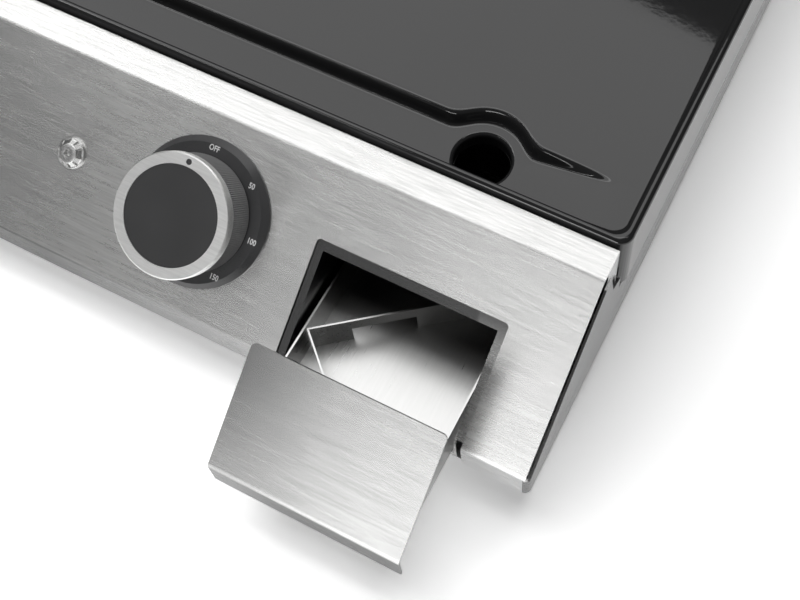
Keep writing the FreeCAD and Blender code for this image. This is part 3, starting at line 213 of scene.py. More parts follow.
class Tree:
    """The nodes of one material, world or group, with short calls for those it uses."""

    def __init__(self, owner: Material | World | NodeTree) -> None:
        """Start with an empty tree in a material, a world or a node group."""
        self.owner = owner
        inner = owner
        if not isinstance(owner, NodeTree):
            owner.use_nodes = True
            inner = owner.node_tree
        self.nodes = inner.nodes
        self.links = inner.links
        self.nodes.clear()

    @classmethod
    def named(cls, name: str) -> "Tree":
        """The tree of a new material of that name."""
        return cls(bpy.data.materials.new(name))

    def node(self, kind: str, settings: dict[str, object] | None = None,
             inputs: dict[Union[str, int], object] | None = None) -> Node:
        """Add a node: its settings first, then its sockets.

        Args:
            kind: The node's type.
            settings: Attributes of the node.
            inputs: Values or wires by socket name or number.

        Returns:
            The node.
        """
        made = self.nodes.new(kind)
        for name, setting in (settings or {}).items():
            setattr(made, name, setting)
        for key, given in (inputs or {}).items():
            socket = made.inputs[key]
            if isinstance(given, Wire):
                self.links.new(given.socket, socket)
            elif isinstance(given, NodeSocket):
                self.links.new(given, socket)
            else:
                socket.default_value = given
        return made

    def maths(self, operation: str, *operands: Operand) -> Wire:
        """A Math node on up to three operands."""
        made = self.node("ShaderNodeMath", {"operation": operation}, dict(enumerate(operands)))
        return Wire(self, made.outputs[0])

    def place(self) -> tuple[Wire, Wire, Wire]:
        """The x, y and z of a point in the object's own coordinates, in metres."""
        where = self.node("ShaderNodeTexCoord")
        parts = self.node("ShaderNodeSeparateXYZ", inputs={0: where.outputs["Object"]})
        return tuple(Wire(self, parts.outputs[axis]) for axis in "XYZ")

    def vector(self, x: Operand, y: Operand, z: Operand) -> NodeSocket:
        """Three values as one vector."""
        return self.node("ShaderNodeCombineXYZ", inputs={0: x, 1: y, 2: z}).outputs[0]

    def noise(self, vector: NodeSocket, scale: float, detail: float = 2.0,
              roughness: float = 0.5) -> Wire:
        """Smooth noise from 0 to 1 about 0.5.

        Args:
            vector: Where to read it.
            scale: Its frequency.
            detail: Its octaves.
            roughness: How much the octaves count.

        Returns:
            The noise.
        """
        made = self.node("ShaderNodeTexNoise", inputs={
            "Vector": vector, "Scale": scale, "Detail": detail, "Roughness": roughness})
        return Wire(self, made.outputs[0])

    def tint(self, factor: Wire, low: Paint, high: Paint) -> NodeSocket:
        """A colour between two, by a factor from 0 to 1."""
        ends = {key: (*end, 1.0) if isinstance(end, tuple) else end for key, end in ((6, low), (7, high))}
        return self.node("ShaderNodeMix", {"data_type": "RGBA"}, {0: factor, **ends}).outputs[2]

    def facing(self) -> NodeSocket:
        """The surface's own normal."""
        return self.node("ShaderNodeNewGeometry").outputs["Normal"]

    def towards(self, axis: Point3) -> Wire:
        """How far the surface faces along an axis, from -1 to 1."""
        return Wire(self, self.vectors("DOT_PRODUCT", self.facing(), axis))

    def vectors(self, operation: str, *operands: object) -> NodeSocket:
        """A Vector Math node on its operands."""
        made = self.node("ShaderNodeVectorMath", {"operation": operation}, dict(enumerate(operands)))
        return made.outputs["Value" if operation == "DOT_PRODUCT" else "Vector"]

    def bump(self, height: Wire, strength: float, distance: float) -> NodeSocket:
        """A normal raised by a height.

        Args:
            height: The height, from 0 to 1.
            strength: How much of it shows.
            distance: What a height of 1 stands for, in metres.

        Returns:
            The normal.
        """
        made = self.node("ShaderNodeBump", inputs={
            "Height": height, "Strength": strength, "Distance": distance})
        return made.outputs["Normal"]

    def principled(self, inputs: dict[Union[str, int], object]) -> Node:
        """A Principled shader with values or wires by socket name."""
        return self.node("ShaderNodeBsdfPrincipled", inputs=inputs)

    def mix(self, factor: Operand, first: Node, second: Node) -> Node:
        """Two shaders mixed: the first at a factor of 0, the second at 1."""
        return self.node("ShaderNodeMixShader", inputs={
            0: factor, 1: first.outputs[0], 2: second.outputs[0]})

    def surface(self, shader: Node) -> Material:
        """End the tree in a shader.

        Args:
            shader: The shader's node.

        Returns:
            The finished material.
        """
        self.node("ShaderNodeOutputMaterial", inputs={"Surface": shader.outputs[0]})
        return self.owner


def grey(level: float, blue: float = 1.0) -> Colour:
    """A grey, with its blue turned up or down a little."""
    return (level, level, level * blue)


def shades(colour: Colour, mottle: float) -> tuple[Colour, Colour]:
    """A colour a little darker and a little lighter."""
    low = tuple(part * (1 - mottle) for part in colour)
    high = tuple(min(1.0, part * (1 + mottle)) for part in colour)
    return low, high


class Finish:
    """A look of one kind of surface, which becomes a material."""

    name: str

    def shader(self, tree: Tree) -> Node:
        """Add the look's nodes to a tree and return its shader."""
        raise NotImplementedError

    def material(self) -> Material:
        """Build the material.

        Returns:
            The material.
        """
        tree = Tree.named(self.name)
        return tree.surface(self.shader(tree))


@dataclass(frozen=True)
class BrushedSteel(Finish):
    """Stainless sheet with fine brushed lines along one direction.

    The lines are grooves: their slopes tilt the normal across the grain, so that reflections
    stay sharp along it and spread out across it. Each slope is a layer of the finish.
    """

    name: str
    grain: Grain = Grain.ALONG_X
    tone: float = 0.64
    contrast: float = 0.15
    roughness: float = 0.27
    spread: float = 1.35
    # Painted shade on faces that face the front, below a tone of 1.
    edge_shade_tone: float = 1.0
    edge_shade_range: Point2 = (0.4, 0.6)
    # Painted shade over all but the lower right of the sheet, below a tone of 1.
    painted_shade_tone: float = 1.0
    painted_shade_x: Point2 = (0.180, 0.186)
    painted_shade_z: Point2 = (0.052, 0.066)
    # Painted shade on upright and downward faces: shares of the tone at the left and right over a range of X,
    # fading in over a range of upward normal.
    upright: Point2 = (1.0, 1.0)
    upright_x: Point2 = (0.0, 0.2)
    fold: Point2 = (0.0, 0.25)
    # Painted shade over the upper left corner, below a tone of 1.
    corner_shade_tone: float = 1.0
    corner_shade_x: Point2 = (0.105, 0.15)
    corner_shade_z: Point2 = (0.03, 0.06)
    warmth: float = 0.99
    per_metre: Point2 = (50.0, 950.0)
    line_octaves: float = 3.0
    line_roughness: float = 0.65
    line_depth: float = 0.03
    stain_scale: float = 14.0
    stain_octaves: float = 3.0
    stain_depth: float = 0.04
    slopes: int = 4
    slope_unit: float = 12.0
    slope_fade: float = 7.0

    def shader(self, tree: Tree) -> Node:
        """The shader of this look."""
        x, y, z = tree.place()
        line = self.lines(tree, x, y, z)
        stain = tree.noise(tree.vector(x, y, z), self.stain_scale, self.stain_octaves)
        waver = (line - 0.5) * self.line_depth
        colour = self.colour(tree, line, x, z)
        rough = self.roughness + (stain - 0.5) * self.stain_depth + waver
        facing = tree.facing()
        across = tree.vectors("CROSS_PRODUCT", facing, self.grain.value)
        total = 0.0
        mixed = None
        for step in sorted(range(-self.slopes, self.slopes + 1), key=lambda slope: (abs(slope), -slope)):
            tilt = waver + step * self.spread / self.slope_unit
            bent = tree.vectors("NORMALIZE", tree.vectors("MULTIPLY_ADD", across, tilt, facing))
            shader = tree.principled({
                "Base Color": colour, "Metallic": 1.0, "Normal": bent, "Roughness": rough})
            weight = math.exp(-step * step / self.slope_fade)
            total += weight
            mixed = tree.mix(weight / total, mixed, shader) if mixed else shader
        return mixed

    def colour(self, tree: Tree, line: Wire, x: Wire, z: Wire) -> NodeSocket:
        """The sheet's colour, with painted shade where it is set: on upright faces and folds, on front-facing
        faces, on the upper left corner, and on all but the lower right.

        Args:
            tree: The material's tree.
            line: The brushed lines.
            x: Place along X.
            z: Place along Z.

        Returns:
            The colour.
        """
        low = grey(self.tone * (1 - self.contrast), self.warmth)
        high = grey(self.tone * (1 + self.contrast), self.warmth)
        colour = tree.tint(line.between(*MIDDLE), low, high)
        # Painted shade: all but the lower right drawn towards a darker tone.
        if self.painted_shade_tone < 1.0:
            painted_shade = z.between(*self.painted_shade_z).maths("MAXIMUM", 1 - x.between(*self.painted_shade_x))
            colour = tree.tint(painted_shade, colour, grey(self.tone * self.painted_shade_tone))
        # Painted shade on upright and downward faces, graded from left to right.
        if self.upright != (1.0, 1.0):
            left, right = (grey(self.tone * share) for share in self.upright)
            shade = tree.tint(x.between(*self.upright_x), left, right)
            colour = tree.tint(1 - tree.towards((0.0, 0.0, 1.0)).between(*self.fold), colour, shade)
        # Painted shade on faces that face the front.
        if self.edge_shade_tone < 1.0:
            front = tree.towards((0.0, -1.0, 0.0)).between(*self.edge_shade_range)
            colour = tree.tint(front, colour, grey(self.tone * self.edge_shade_tone))
        # Painted shade over the upper left corner.
        if self.corner_shade_tone < 1.0:
            corner = (1 - x.between(*self.corner_shade_x)) * z.between(*self.corner_shade_z)
            colour = tree.tint(corner, colour, grey(self.tone * self.corner_shade_tone))
        return colour

    def lines(self, tree: Tree, *place: Wire) -> Wire:
        """Noise drawn out along the grain.

        Args:
            tree: The material's tree.
            place: The x, y and z of a point.

        Returns:
            The noise, from 0 to 1 about 0.5.
        """
        along, across = self.per_metre
        drawn = [part * (along if share else across) for part, share in zip(place, self.grain.value)]
        return tree.noise(tree.vector(*drawn), 1.0, self.line_octaves, self.line_roughness)


@dataclass(frozen=True)
class Enamel(Finish):
    """Glossy dark enamel with a faint orange-peel surface, and painted shade on faces that face the front,
    which lose most of their reflection.
    """

    name: str
    tone: float = 0.016
    shade: Point2 = (0.9, 1.12)
    blue: float = 1.03
    roughness: float = 0.05
    peel: float = 0.05
    peel_depth: float = 0.0002
    # Painted shade: the share of reflection taken from faces that face the front.
    front_shade_share: float = 0.85
    front_shade_range: Point2 = (0.8, 0.97)
    cloud_noise: Point2 = (9.0, 3.0)
    cloud_depth: float = 0.03
    peel_noise: Point2 = (260.0, 2.0)
    speck_noise: Point2 = (2600.0, 1.0)
    speck_range: Point2 = (0.62, 0.75)
    speck_depth: float = 0.02

    def shader(self, tree: Tree) -> Node:
        """The shader of this look."""
        spot = tree.vector(*tree.place())
        cloud = tree.noise(spot, *self.cloud_noise)
        peel = tree.noise(spot, *self.peel_noise)
        speck = tree.noise(spot, *self.speck_noise).between(*self.speck_range)
        low, high = (grey(self.tone * share, self.blue) for share in self.shade)
        rough = self.roughness + (cloud - 0.5) * self.cloud_depth + speck * self.speck_depth
        coat = {"Base Color": tree.tint(cloud.between(*MIDDLE), low, high), "Roughness": rough}
        raised = tree.bump(peel, self.peel, self.peel_depth)
        glossy = tree.principled({**coat, "IOR": 1.5, "Normal": raised})
        # Painted shade: a coat without reflection, for faces that face the front.
        shade_coat = tree.principled({**coat, "IOR": 1.0})
        front = tree.towards((0.0, -1.0, 0.0)).between(*self.front_shade_range)
        return tree.mix(front * self.front_shade_share, glossy, shade_coat)


@dataclass(frozen=True)
class Plastic(Finish):
    """Moulded plastic or rubber with a fine grain."""

    name: str
    colour: Colour
    roughness: float = 0.45
    grain: float = 0.15
    scale: float = 2500.0
    mottle: float = 0.08
    fine_depth: float = 0.12
    broad_scale: float = 40.0
    broad_depth: float = 0.06

    def shader(self, tree: Tree) -> Node:
        """The shader of this look."""
        spot = tree.vector(*tree.place())
        fine = tree.noise(spot, self.scale)
        broad = tree.noise(spot, self.broad_scale)
        return tree.principled({
            "Base Color": tree.tint(broad.between(*MIDDLE), *shades(self.colour, self.mottle)),
            "Roughness": self.roughness + (fine - 0.5) * self.fine_depth + (broad - 0.5) * self.broad_depth,
            "Normal": tree.bump(fine, self.grain, GRAIN_DEPTH)})


@dataclass(frozen=True)
class PlainMetal(Finish):
    """Plated or raw metal of small parts and inner sheets."""

    name: str
    colour: Colour
    roughness: float = 0.35
    mottle: float = 0.1
    grain: float = 0.1
    octaves: float = 3.0
    fine_scale: float = 900.0
    fine_depth: float = 0.15
    broad_scale: float = 60.0

    def shader(self, tree: Tree) -> Node:
        """The shader of this look."""
        spot = tree.vector(*tree.place())
        fine = tree.noise(spot, self.fine_scale, self.octaves)
        broad = tree.noise(spot, self.broad_scale, self.octaves)
        return tree.principled({
            "Base Color": tree.tint(broad.between(*MIDDLE), *shades(self.colour, self.mottle)),
            "Metallic": 1.0, "Roughness": self.roughness + (fine - 0.5) * self.fine_depth,
            "Normal": tree.bump(fine, self.grain, GRAIN_DEPTH)})


@dataclass(frozen=True)
class Wardrobe:
    """Every look, with the CAD nodes that wear it."""

    looks: Sequence[tuple[Finish, Sequence[str]]] = (
        (BrushedSteel("steel_brushed"), ("rear_panel",)),
        # Painted shade on the fascia's lip, near black at the left; a touch of painted light at the right.
        (BrushedSteel("steel_fascia", upright=(0.12, 1.05), fold=(0.45, 0.8)), ("front_fascia",)),
        # Painted shade on the drawer front's lip and its upper left corner.
        (BrushedSteel("steel_drawer_front", tone=0.54, upright=(0.22, 0.22), corner_shade_tone=0.5),
         ("drawer_front",)),
        # Painted shade on the cheeks: all their upright faces, and darker still on their front edges.
        (BrushedSteel("steel_side", grain=Grain.ALONG_Y, edge_shade_tone=0.25, upright=(0.32, 0.32)),
         ("left_cheek", "right_cheek")),
        # Painted shade over the sleeve, all but its lower right.
        (BrushedSteel("steel_sleeve", painted_shade_tone=0.2, spread=0.9), ("drawer_sleeve",)),
        (BrushedSteel("steel_tray", grain=Grain.ALONG_Y, tone=0.45, contrast=0.03, roughness=0.28,
                      spread=0.6), ("drawer_tray", "splash_baffle")),
        (BrushedSteel("ring_aluminium", tone=0.8, roughness=0.42, contrast=0.08, spread=1.2), ("knob_ring",)),
        (BrushedSteel("lens_clear", tone=0.6, roughness=0.25, contrast=0.02), ("lamp_lens",)),
        (PlainMetal("sheet_steel", grey(0.5), 0.4), ("base_plate", "heat_shield")),
        (PlainMetal("zinc", (0.55, 0.55, 0.53), 0.38),
         ("clamp_bars", "plate_studs", "stud_nuts", "thermostat_screws", "thermostat_shaft",
          "capillary_sensor", "lamp_clip", "foot_screws", "foot_nuts", "base_screws")),
        (PlainMetal("sheath", (0.2, 0.19, 0.18), 0.5), ("heating_element",)),
        # Near-black spout: painted shade inside the drain's hole.
        (PlainMetal("spout_painted_shade", grey(0.006), 0.6), ("drain_spout",)),
        # The griddle's front faces carry painted shade in this look.
        (Enamel("enamel_black"), ("cooking_plate",)),
        (Plastic("dial_black", (0.06, 0.06, 0.062), 0.3), ("dial_bezel",)),
        (Plastic("dial_print", grey(0.85), 0.6), ()),
        (Plastic("knob_black", (0.045, 0.045, 0.046), 0.4), ("knob_body", "knob_disc", "knob_pointer")),
        (Plastic("knob_knurl", (0.3, 0.3, 0.302), 0.35), ()),
        (Plastic("white_nylon", (0.75, 0.75, 0.72), 0.5), ("lamp_body",)),
        (Plastic("gland_black", (0.025, 0.025, 0.026), 0.5), ("gland_body", "gland_locknut", "gland_cap")),
        (Plastic("rubber", grey(0.025), 0.75, 0.3, 1200.0),
         ("gland_seal", "foot_front_left", "foot_front_right", "foot_rear_left", "foot_rear_right")),
        (Plastic("porcelain", (0.8, 0.79, 0.75), 0.35, 0.05), ("thermostat_body", "terminal_block")))

    def dress(self) -> dict[str, Material]:
        """Build every material and put it on its nodes.

        Returns:
            The materials by name.
        """
        made = {look.name: look.material() for look, _ in self.looks}
        for look, names in self.looks:
            for name in names:
                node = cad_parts[name]
                node.data.materials.clear()
                node.data.materials.append(made[look.name])
            log.info("%s: %s", look.name, ", ".join(names))
        return made


@dataclass
class GriddlePlate:
    """The enamelled griddle: rim, skirt, gutter that bows round the drain, and the drain's lip."""

    finish: Material
    corner: float = 6.0
    rim_height: float = 4.2
    rim_round: float = 2.2
    skirt_height: float = 34.0
    skirt_wall: float = 4.0
    slab_wall: float = 6.0
    gutter_width: float = 26.5
    gutter_drop: float = 6.0
    gutter_end: float = 15.0
    gutter_ramp: float = 35.0
    drain_setback: float = 15.6
    drain_radius: float = 11.3
    drain_lip: float = 2.0
    drain_bulge: float = 19.3
    blend: float = 5.0
    rim_fall: Sequence[Point2] = (
        (2.4, 1.0), (2.8, 0.985), (3.2, 0.93), (3.5, 0.8), (3.7, 0.6), (3.85, 0.4), (4.1, 0.2),
        (4.5, 0.08), (5.1, 0.02), (5.9, 0.0))
    step_fall: Sequence[Point2] = (
        (-3.4, 0.0), (-2.6, 0.003), (-1.9, 0.012), (-1.3, 0.028), (-0.8, 0.052), (-0.4, 0.09), (0.0, 0.16),
        (0.4, 0.27), (0.8, 0.41), (1.2, 0.57), (1.6, 0.72), (2.0, 0.84), (2.4, 0.915), (2.9, 0.955),
        (3.5, 0.98), (4.3, 0.994), (5.2, 1.0))
    round_shares: Sequence[float] = (0.0, 0.015, 0.06, 0.13, 0.23, 0.36, 0.52, 0.74, 1.0)
    lip_shares: Sequence[float] = (1.0, 0.8, 0.6, 0.42, 0.27, 0.15, 0.06, 0.015, 0.0)
    corner_steps: int = 8
    bore_segments: int = 72
    bore_step: float = 0.12
    bore_slope: float = 40.0
    contour_margin: float = 6.6
    contour_first: float = -150.0
    contour_spacing: float = 30.0
    contour_spaces: int = 9
    bow_margin: float = 12.0
    bow_steps: int = 76
    ramp_steps: int = 8
    search: Point2 = (2.0, 40.0)
    halvings: int = 40
    merge: float = 0.001
    touch: float = 0.01
    edge: float = 0.02
    steep: float = 0.95
    skirt_foot: float = 0.1

    def __post_init__(self) -> None:
        """Work out the levels."""
        self.half = LAYOUT.plate_half
        self.drain_x = LAYOUT.from_right(LAYOUT.drain_inset)
        self.front = LAYOUT.plate_y
        self.rear = LAYOUT.rear_y
        self.top = LAYOUT.rim_z
        self.cook = self.top - self.rim_height
        self.skirt = self.top - self.skirt_height
        self.drain_y = self.front + self.drain_setback
        self.gutter_y = self.front + self.gutter_width
        self.gutter_x = self.half - self.gutter_end

    @staticmethod
    def fall(table: Sequence[Point2], at: float) -> float:
        """Read a table of places and shares, straight between its rows.

        Args:
            table: Rows of place and share, by rising place.
            at: The place.

        Returns:
            The share there.
        """
        if at <= table[0][0]:
            return table[0][1]
        for (low, first), (high, second) in zip(table, table[1:]):
            if at <= high:
                return first + (second - first) * (at - low) / (high - low)
        return table[-1][1]

    def inset(self, x: float, y: float) -> float:
        """How far a point is inside the outline, along outlines of one corner radius."""
        u = self.half - abs(x)
        v = min(y - self.front, self.rear - y)
        if abs(u - v) >= self.corner:
            return min(u, v)
        reach = math.sqrt(max(0.0, 2 * self.corner ** 2 - (u - v) ** 2))
        return (u + v + reach) / 2 - self.corner

    def from_drain(self, x: float, y: float) -> float:
        """How far a point is from the drain's axis."""
        return math.hypot(x - self.drain_x, y - self.drain_y)

    def clear_of(self, radius: float, corners: Sequence[Vector]) -> bool:
        """Whether the middle of a face is farther than a radius from the drain's axis."""
        return self.from_drain(*sum(corners, Vector((0, 0))) / len(corners)) > radius

    def gutter_depth_in(self, x: float, y: float) -> float:
        """How far a point is inside the gutter's upper edge, with its kinks rounded."""
        straight = self.gutter_y - y
        bow = self.drain_bulge - self.from_drain(x, y)
        share = min(1.0, max(0.0, 0.5 + 0.5 * (straight - bow) / self.blend))
        return bow + (straight - bow) * share + self.blend * share * (1 - share)

    def gutter_fall(self, x: float) -> float:
        """The gutter's depth, which runs out towards both ends."""
        ramp = (self.gutter_x - abs(x)) / self.gutter_ramp
        return self.gutter_drop * min(1.0, max(0.0, ramp))

    def height(self, x: float, y: float) -> float:
        """The height of the upper surface.

        Args:
            x: Millimetres to the right of the middle.
            y: Millimetres behind the lip's outer face.

        Returns:
            Millimetres above the floor.
        """
        level = self.cook - self.gutter_fall(x) * self.fall(self.step_fall, self.gutter_depth_in(x, y))
        reach = self.from_drain(x, y) - self.drain_radius
        if reach < self.drain_lip:
            if reach > 0:
                level -= self.drain_lip - math.sqrt(self.drain_lip ** 2 - (self.drain_lip - reach) ** 2)
            else:
                level -= self.drain_lip - reach * self.bore_slope
        inset = self.inset(x, y)
        rim = self.top
        if inset < self.rim_round:
            rim -= self.rim_round - math.sqrt(max(0.0, self.rim_round ** 2 - (self.rim_round - inset) ** 2))
        share = self.fall(self.rim_fall, inset)
        return level + (rim - level) * share

    def loop(self, inset: float) -> list[Point2]:
        """The outline at an inset, as points round its rounded corners."""
        points: list[Point2] = []
        steps = self.corner_steps
        corners = ((1, 1, 0), (-1, 1, 90), (-1, -1, 180), (1, -1, 270))
        middle = (self.front + self.rear) / 2
        deep = (self.rear - self.front) / 2 - inset - self.corner
        wide = self.half - inset - self.corner
        for side, end, start in corners:
            for step in range(steps + 1):
                angle = math.radians(start + 90 * step / steps)
                points.append((side * wide + self.corner * math.cos(angle),
                               middle + end * deep + self.corner * math.sin(angle)))
        return points

    def contour(self, inside: float) -> list[Point2]:
        """A line along the gutter at one distance inside its upper edge.

        Args:
            inside: Millimetres inside the edge.

        Returns:
            Points from left to right.
        """
        end = self.half - self.contour_margin
        stops = [-end, -self.gutter_x, -self.gutter_x + self.gutter_ramp]
        stops += [self.contour_first + self.contour_spacing * step for step in range(self.contour_spaces)]
        near = self.drain_bulge + self.bow_margin
        count = self.bow_steps
        stops += [self.drain_x - near + 2 * near * step / count for step in range(count + 1)]
        count = self.ramp_steps
        stops += [self.gutter_x - self.gutter_ramp * (1 - step / count) for step in range(count + 1)]
        stops.append(end)
        points: list[Point2] = []
        for x in sorted(set(round(stop, 4) for stop in stops)):
            low, high = (self.drain_y + reach for reach in self.search)
            for _ in range(self.halvings):
                middle = (low + high) / 2
                if self.gutter_depth_in(x, middle) > inside:
                    low = middle
                else:
                    high = middle
            points.append((x, low))
        return points

    def build(self) -> None:
        """Make the griddle's mesh."""
        points: list[Point2] = []
        edges: list[tuple[int, int]] = []

        def add(line: Sequence[Point2], closed: bool) -> None:
            """Add a line of points to the layout of the surface."""
            start = len(points)
            points.extend(line)
            edges.extend((start + k, start + k + 1) for k in range(len(line) - 1))
            if closed:
                edges.append((start + len(line) - 1, start))

        insets = [self.rim_round * share for share in self.round_shares]
        insets += [place for place, _ in self.rim_fall]
        for inset in insets:
            add(self.loop(inset), True)
        for inside, _ in self.step_fall:
            add(self.contour(inside), False)
        radii = [self.drain_radius + self.drain_lip * share for share in self.lip_shares]
        bore = self.drain_radius - self.bore_step
        turns = [math.tau * k / self.bore_segments for k in range(self.bore_segments)]
        for radius in radii + [bore]:
            add([(self.drain_x + radius * math.cos(turn), self.drain_y + radius * math.sin(turn))
                 for turn in turns], True)
        spots, _, faces = delaunay_2d_cdt([Vector(point) for point in points], edges, [], 0, CLOSE)[:3]
        made = bmesh.new()
        upper = [made.verts.new((spot.x, spot.y, self.height(spot.x, spot.y))) for spot in spots]
        for face in faces:
            if self.clear_of(bore, [spots[k] for k in face]):
                made.faces.new([upper[k] for k in face])
        loose = [vert for vert in made.verts if not vert.link_faces]
        bmesh.ops.delete(made, geom=loose, context="VERTS")
        self.add_skirt(made)
        bmesh.ops.recalc_face_normals(made, faces=made.faces)
        self.finish_mesh(made)

    def add_skirt(self, made: BMesh) -> None:
        """Close the mesh with the skirt, the underside and the bore.

        Args:
            made: The mesh, with its upper surface.
        """
        rings: dict[bool, list[BMEdge]] = {True: [], False: []}
        for edge in made.edges:
            if edge.is_boundary:
                rings[self.from_drain(*edge.verts[0].co.xy) < self.drain_radius].append(edge)
        slab = self.cook - self.gutter_drop - self.slab_wall

        def extrude(ring: list[BMEdge], shift: Callable[[Vector], Point3]) -> list[BMEdge]:
            """Draw a ring of edges out to new places and return the new ring."""
            result = bmesh.ops.extrude_edge_only(made, edges=ring)["geom"]
            for item in result:
                if isinstance(item, BMVert):
                    item.co = shift(item.co)
            return [item for item in result if isinstance(item, BMEdge) and item.is_boundary]

        def inner_edge(spot: Vector) -> Point3:
            """The skirt's inner face beside a place on its lower edge."""
            wall = self.skirt_wall
            return (min(max(spot.x, wall - self.half), self.half - wall),
                    min(max(spot.y, self.front + wall), self.rear - wall), spot.z)

        ring = extrude(rings[False], lambda spot: (spot.x, spot.y, self.skirt))
        ring = extrude(ring, inner_edge)
        for edges in (ring, rings[True]):
            extrude(edges, lambda spot: (spot.x, spot.y, slab))
        bmesh.ops.remove_doubles(made, verts=made.verts, dist=self.merge)
        self.fill_underside(made)

    def fill_underside(self, made: BMesh) -> None:
        """Fill the underside between the skirt and the drain's bore.

        Args:
            made: The mesh, open at its underside alone.
        """
        ends = [edge for edge in made.edges if edge.is_boundary]
        verts = list(dict.fromkeys(vert for edge in ends for vert in edge.verts))
        place = {vert: number for number, vert in enumerate(verts)}
        lines = [tuple(place[vert] for vert in edge.verts) for edge in ends]
        spots, _, faces, sources = delaunay_2d_cdt([vert.co.xy for vert in verts], lines, [], 0, CLOSE)[:4]
        for face in faces:
            if self.clear_of(self.drain_radius, [spots[k] for k in face]):
                made.faces.new([verts[sources[k][0]] for k in face])

    def finish_mesh(self, made: BMesh) -> None:
        """Turn the mesh into a piece, with normals read from the surface's own formula.

        Args:
            made: The closed mesh in millimetres.
        """
        for face in made.faces:
            face.smooth = True
        mesh = to_mesh("griddle_plate", made)
        normals: list[Vector] = []
        for polygon in mesh.polygons:
            flat = polygon.normal.copy()
            for index in polygon.vertices:
                x, y, z = mesh.vertices[index].co
                inset = self.inset(x, y)
                on_top = abs(z - self.height(x, y)) < self.touch and flat.z > self.edge
                if on_top and inset > self.touch:
                    normals.append(self.upward(x, y))
                elif abs(flat.z) < self.steep and inset < self.edge and z > self.skirt + self.skirt_foot:
                    normals.append(self.outward(x, y))
                else:
                    normals.append(flat)
        for vertex in mesh.vertices:
            vertex.co = LAYOUT.to_row(*vertex.co)
        mesh.normals_split_custom_set([tuple(normal) for normal in normals])
        mesh.materials.append(self.finish)
        add_piece("griddle_plate", mesh, Body.HOUSING, "enamel", "cooking_plate")

    def upward(self, x: float, y: float) -> Vector:
        """The normal of the upper surface, from its slopes."""
        small = self.edge
        across = self.height(x + small, y) - self.height(x - small, y)
        along = self.height(x, y + small) - self.height(x, y - small)
        return Vector((-across, -along, 2 * small)).normalized()

    def outward(self, x: float, y: float) -> Vector:
        """The level normal of the skirt at a place on the outline."""
        side = Vector((0.0, 0.0, 0.0))
        over_x = abs(x) - (self.half - self.corner)
        over_y = max(self.front + self.corner - y, y - self.rear + self.corner)
        side.x = math.copysign(max(0.0, over_x), x)
        side.y = math.copysign(max(0.0, over_y), y - (self.front + self.rear) / 2)
        return side.normalized() if side.length > TINY else Vector((0.0, -1.0, 0.0))


def to_mesh(name: str, made: BMesh) -> Mesh:
    """Write a working mesh into a new one of that name and free it."""
    mesh = bpy.data.meshes.new(name)
    made.to_mesh(mesh)
    made.free()
    return mesh


def baked(carrier: Object) -> Mesh:
    """The mesh that an object's curve or modifiers make, without the object."""
    bpy.context.scene.collection.objects.link(carrier)
    mesh = bpy.data.meshes.new_from_object(carrier.evaluated_get(bpy.context.evaluated_depsgraph_get()))
    bpy.data.objects.remove(carrier)
    return mesh


def skin(made: BMesh, rings: Sequence[Sequence[BMVert]]) -> None:
    """Join rings of points to one another, each to the next, and clear what has no size.

    Args:
        made: The mesh that the points are in.
        rings: The rings, all of one count.
    """
    for lower, upper in zip(rings, rings[1:]):
        for k in range(len(lower)):
            after = (k + 1) % len(lower)
            made.faces.new((lower[k], lower[after], upper[after], upper[k]))
    bmesh.ops.remove_doubles(made, verts=made.verts, dist=TINY)
    bmesh.ops.dissolve_degenerate(made, dist=TINY, edges=made.edges)
    bmesh.ops.recalc_face_normals(made, faces=made.faces)


def add_piece(name: str, mesh: Mesh, body: Body, slot: str, *nodes: str) -> None:
    """Put a finished mesh in the scene as a piece that rides a body.

    Args:
        name: The piece's name.
        mesh: Its mesh, in the frame's metres.
        body: The body it moves with.
        slot: The record's material slot; not used.
        nodes: The CAD nodes it stands for.
    """
    piece = bpy.data.objects.new(name, mesh)
    bpy.context.scene.collection.objects.link(piece)
    if nodes:
        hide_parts(*nodes)
    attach(piece, body.value)
    log.info("%s: %d faces", name, len(mesh.polygons))


